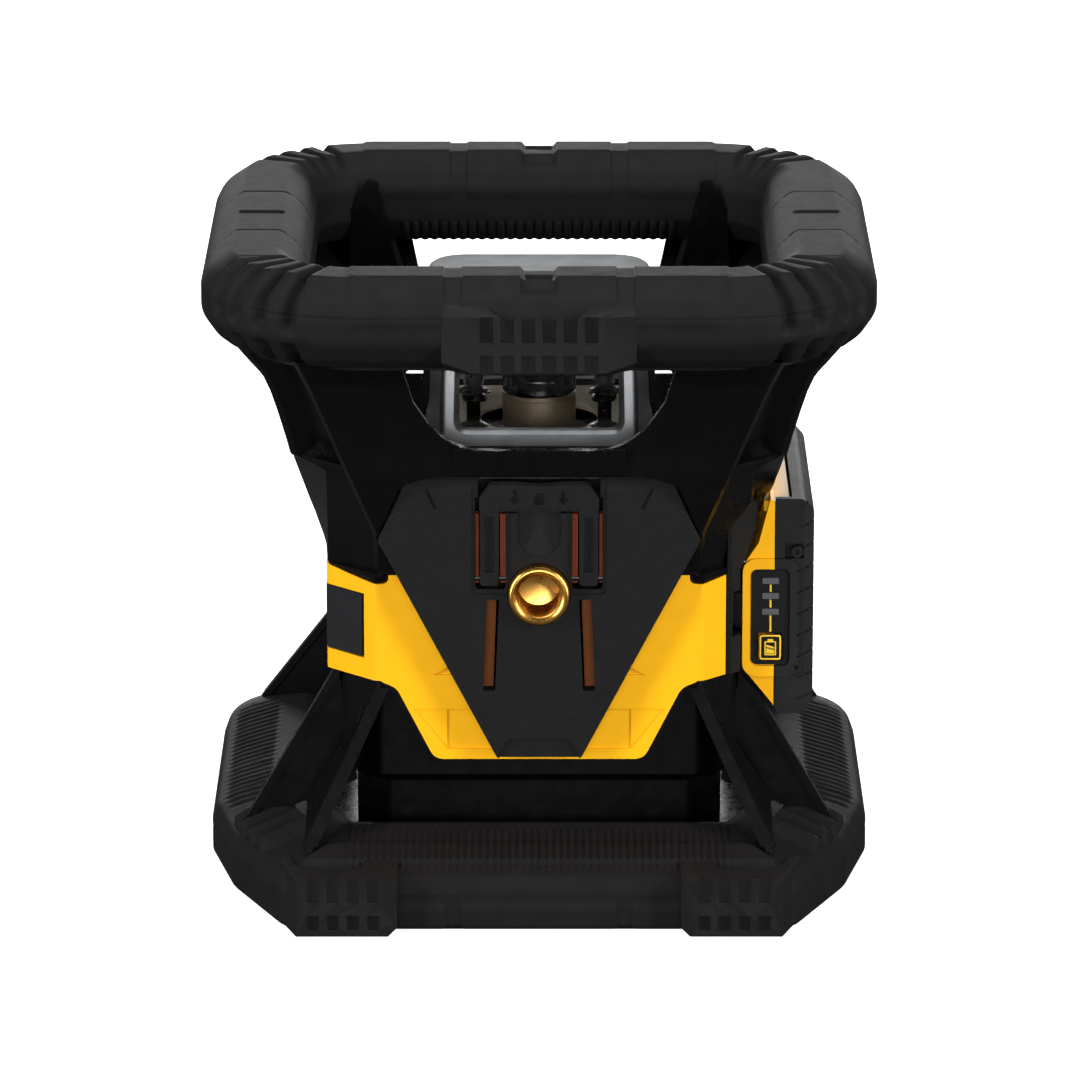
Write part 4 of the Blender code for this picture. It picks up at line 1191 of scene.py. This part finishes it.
def gauge_button():
    """Button with an icon of a battery on it."""
    face = low("gauge_button").y + 0.8
    start, end = face - 0.08, face + 0.2

    def rim(half_x, half_z, width, radii, steps, z):
        outer = rounded(half_x, half_z, radii[0], steps, (GAUGE_X, z))
        inner = rounded(half_x - width, half_z - width, radii[1], steps, (GAUGE_X, z))
        return hollow(outer, inner, start, end, "XZ")

    cap = upright(rounded(3.5, 4.2, 0.8, 4, (GAUGE_X, 81.5)), face, face + 1.3)
    parts = [soften(piece("gauge_button_cap", cap, "black_textured"), 0.2, 2)]
    shapes = [rim(3.5, 4.2, 0.5, (0.8, 0.5), 4, 81.5), rim(1.9, 2.4, 0.4, (0.3, 0.2), 3, 81.2)]
    for outline in ([(74.9, 83.6), (76.7, 83.6), (76.7, 84.3), (74.9, 84.3)],
                    [(74.5, 79.4), (77.1, 79.4), (77.1, 80.6), (74.5, 81.2)],
                    [(74.5, 81.6), (77.1, 81.0), (77.1, 81.6), (74.5, 82.4)]):
        shapes.append(upright(outline, start, end))
    parts += [piece("mark", shape, "icon") for shape in shapes]
    return done(merge(parts, "gauge_button_cap"), "gauge_button")


def release_button():
    start, end = low("battery_release_button"), high("battery_release_button")
    outline = filleted([(start.y, start.z), (end.y, start.z), (end.y, end.z), (start.y, end.z)], 2.0)
    button = piece("release_button_cap", prism(outline, start.x, end.x, "YZ"), "black_textured")
    for k in range(4):
        y = start.y - 0.2 + 3.3 * k
        join(button, box((start.x - 0.9, y, start.z + 2), (start.x + 1, y + 1.2, end.z - 2)))
    return done(soften(button, 0.35, 2), "battery_release_button")


# ---- lantern

def lantern_frame(half_x, half_y, pane_z, pane_half):
    outline = filleted(octagon(half_x, half_y, 5, 12), 2.5, 5)
    start, end = low("lantern_frame").z, high("lantern_frame").z
    rows = ((0, start), (0.2, start + 3), (1.5, end), (4.5, end), (3.2, start))
    loops = [place([(x * (1 - shrink / half_x), y * (1 - shrink / half_y)) for x, y in outline], z)
             for shrink, z in rows]
    body = piece("lantern_frame_casting", loft(loops, True), "frame_metal")
    splay = ((-half_y - 4, 5.0), (-half_y + 3.4, 0.0), (half_y - 3.4, 0.0), (half_y + 4, 5.0))
    opening = [place(rounded(26 + grow, pane_half + grow * 0.75, 3 + grow * 0.8, 6, (0, pane_z)), y, "XZ")
               for y, grow in splay]
    side_opening = rounded(35.5, pane_half - 1, 6, 6, (0, pane_z + 1))
    cut(body, loft(opening), prism(side_opening, -half_x - 4, half_x + 4, "YZ"))
    done(soften(body, 0.6, 3, 24), "lantern_frame")


def lantern():
    half_x, half_y = high("lantern_frame").x, high("lantern_frame").y
    bottom, top = low("window_front").z - 0.3, high("window_front").z + 0.3
    pane_z, pane_half = (bottom + top) / 2, (top - bottom) / 2
    lantern_frame(half_x, half_y, pane_z, pane_half)
    gasket_out = filleted(octagon(half_x + 0.5, half_y + 0.5, 5, 12), 2.5, 5)
    gasket_in = filleted(octagon(half_x - 4, half_y - 4, 5, 12), 2.5, 5)
    shape = hollow(gasket_out, gasket_in, low("lantern_gasket").z, high("lantern_gasket").z)
    done(soften(piece("lantern_gasket_ring", shape, "rubber"), 0.6, 2), "lantern_gasket")
    start, end = low("lantern_cover").z, high("lantern_cover").z
    rows = [(36.2, start, 11.5), (37.0, start + 0.6, 12), (37.2, start + 1.6, 12), (36.6, start + 2.9, 12),
            (35.2, end, 11), (28, end, 8)]
    cover = loft([place(rounded(half, half + 8, radius, 10), z) for half, z, radius in rows])
    done(piece("lantern_cover_cap", cover, "cover_metal", 50), "lantern_cover")
    side_centre = (0, 165.5)
    for name, side in (("left", -1), ("right", 1)):
        outer, inner = rounded(33.5, 12.5, 6, 6, side_centre), rounded(31.8, 10.8, 4.5, 6, side_centre)
        shape = hollow(outer, inner, *sorted((side * 35.7, side * 38.0)), "YZ")
        seal = piece(f"window_seal_{name}", shape, "rubber")
        done(soften(seal, 0.4, 2), body="root", slot="rubber")
        pane = prism(rounded(33, 12, 5, 6, side_centre), side * 34.6, side * 35.6, "YZ")
        done(piece(f"window_{name}_pane", pane, "glass"), f"window_{name}")
    for name, side in (("front", -1), ("rear", 1)):
        outline = rounded(27.5, pane_half + 1.2, 3.5, 5, (0, pane_z))
        pane = upright(outline, *sorted((side * (half_y - 3.3), side * (half_y - 2.0))))
        done(piece(f"window_{name}_pane", pane, "glass"), f"window_{name}")


def deck():
    outline = filleted(octagon(33, 41.5, 5, 12), 2, 4)
    plate = piece("deck_plate_cream", prism(outline, low("deck_plate").z, high("deck_plate").z), "cream")
    cut(plate, rod(20.0, (0, 0), 130, 160, steps=96))
    done(soften(plate, 0.2, 2), "deck_plate")


def deck_post(node):
    """Turned post with two toothed collars."""
    base = high("deck_plate").z
    profile = [(4.0, base + 0.2), (4.0, base + 1.0), (3.0, base + 1.6), (4.2, base + 2.4),
               (4.2, base + 3.1), (2.3, base + 4.2), (2.3, 156.4), (3.9, 157.2), (3.9, 158.0), (2.9, 158.7),
               (4.0, 159.4), (4.0, 160.2), (2.5, 161.4), (3.4, 162.4), (3.4, 168), (2.6, 169),
               (2.6, high(node).z)]
    x, y = (low(node).x + high(node).x) / 2, (low(node).y + high(node).y) / 2
    parts = [piece(node + "_turned", turned(profile, (x, y), 32, False), "black_gloss", 30)]
    for z in (base + 2.7, 159.8):
        for k in range(8):
            out = Vector((math.cos(k * math.pi / 4), math.sin(k * math.pi / 4), 0))
            side = UP.cross(out)
            middle = Vector((x, y, z))
            tooth = [middle + out * 3.4 + side * s + UP * h for s in (-1, 1) for h in (-0.8, 0.8)]
            tooth.append(middle + out * 5.6)
            parts.append(piece("cog", hull(tooth), "black_gloss"))
    done(merge(parts, node + "_turned"), node)


def rotor():
    start, end, radius = low("rotor_drum").z, high("rotor_drum").z, high("rotor_drum").x
    drum = [(3.5, start), (6.0, start), (6.0, 142.3), (radius - 0.4, 142.3), (radius, 142.7),
            (radius, 152.6), (radius - 0.25, 152.8), (radius - 0.25, 153.3), (radius, 153.5), (radius, end),
            (10, end), (10, 145.5), (3.5, 145.5)]
    done(piece("rotor_drum_turned", turned(drum), "tan", 30), "rotor_drum")
    start, end = low("rotor_cap").z, high("rotor_cap").z
    cap = [(radius - 0.3, start), (radius, start + 0.3), (radius, 172.8), (radius - 0.6, 174.4),
           (10.4, end), (1.2, end), (1.2, 173.5), (9.9, 173.5), (9.9, start)]
    hood = piece("rotor_cap_turned", turned(cap), "black_gloss", 30)
    cut(hood, box((-5, -20, 159), (5, 0, 170)))
    for k in range(12):
        angle = k * math.pi / 6 + math.pi / 12
        out = Vector((math.cos(angle), math.sin(angle), 0))
        side = UP.cross(out)
        if abs(out.x) < 0.5 and out.y < 0:
            continue
        cut(hood, hull([out * r + side * s + UP * z for r in (radius - 0.7, radius + 2)
                        for s in (-1.2, 1.2) for z in (157, 171.5)]))
    done(hood, "rotor_cap")


def cross_rod():
    profile = [(0.1, -20.5), (1.9, -20.3), (2.0, -19.9), (2.0, 19.9), (1.9, 20.3), (0.1, 20.5)]
    bar = piece("rear_cross_rod", turned(profile, (30.5, 166.0), 48, False, "YZ"), "steel", 40)
    done(bar, body="root", slot="steel")


# ---- other pieces

def softened_node(node, width, segments=2):
    """A CAD node's own shape with rounded edges."""
    source = frame["nodes"][node].data
    points = [tuple(v.co / MM) for v in source.vertices]
    faces = [tuple(f.vertices) for f in source.polygons]
    done(soften(piece(node + "_rounded", (points, faces), SLOT_OF[node]), width, segments), node)


def keys():
    for node in [n for n in BODY_OF if n.startswith("key_")]:
        start, end = low(node), high(node)
        radius, face = (end.x - start.x) / 2, end.y
        centre = ((start.x + end.x) / 2, (start.z + end.z) / 2)
        profile = [(radius, start.y), (radius, face - 1.2), (radius - 0.35, face - 0.5),
                   (radius - 1.0, face - 0.1), (radius - 1.9, face), (0.3, face - 0.5)]
        done(piece(node + "_cap", turned(profile, centre, 48, False, "XZ"), "grey", 50), node)


def plain_nodes():
    """Hidden or simple CAD nodes keep their shape and get the finished materials."""
    for node, obj in frame["nodes"].items():
        obj.data.materials.clear()
        obj.data.materials.append(PAINTS["black_gloss" if node.startswith("lever_pin") else SLOT_OF[node]])


# ---- build

plain_nodes()
camera()
studio()
handle_ring()
finger_ribs()
ring_foot()
base_bumper()
base_feet()
upper_cage()
lower_chassis()
housing_shell()
side_insert()
upper_housing()
mount_plate()
painted_shade_strips()
side_thread()
lock_lever()
battery_upper_shell()
battery_lower_shell()
gauge()
gauge_button()
release_button()
lantern()
deck()
for post in ("front_left", "front_right", "rear_left", "rear_right"):
    deck_post("deck_post_" + post)
rotor()
cross_rod()
softened_node("control_panel", 0.8, segments=3)
keys()
softened_node("bay_housing", 0.8, segments=3)
softened_node("battery_rail", 0.6)
softened_node("bottom_cover", 0.5)
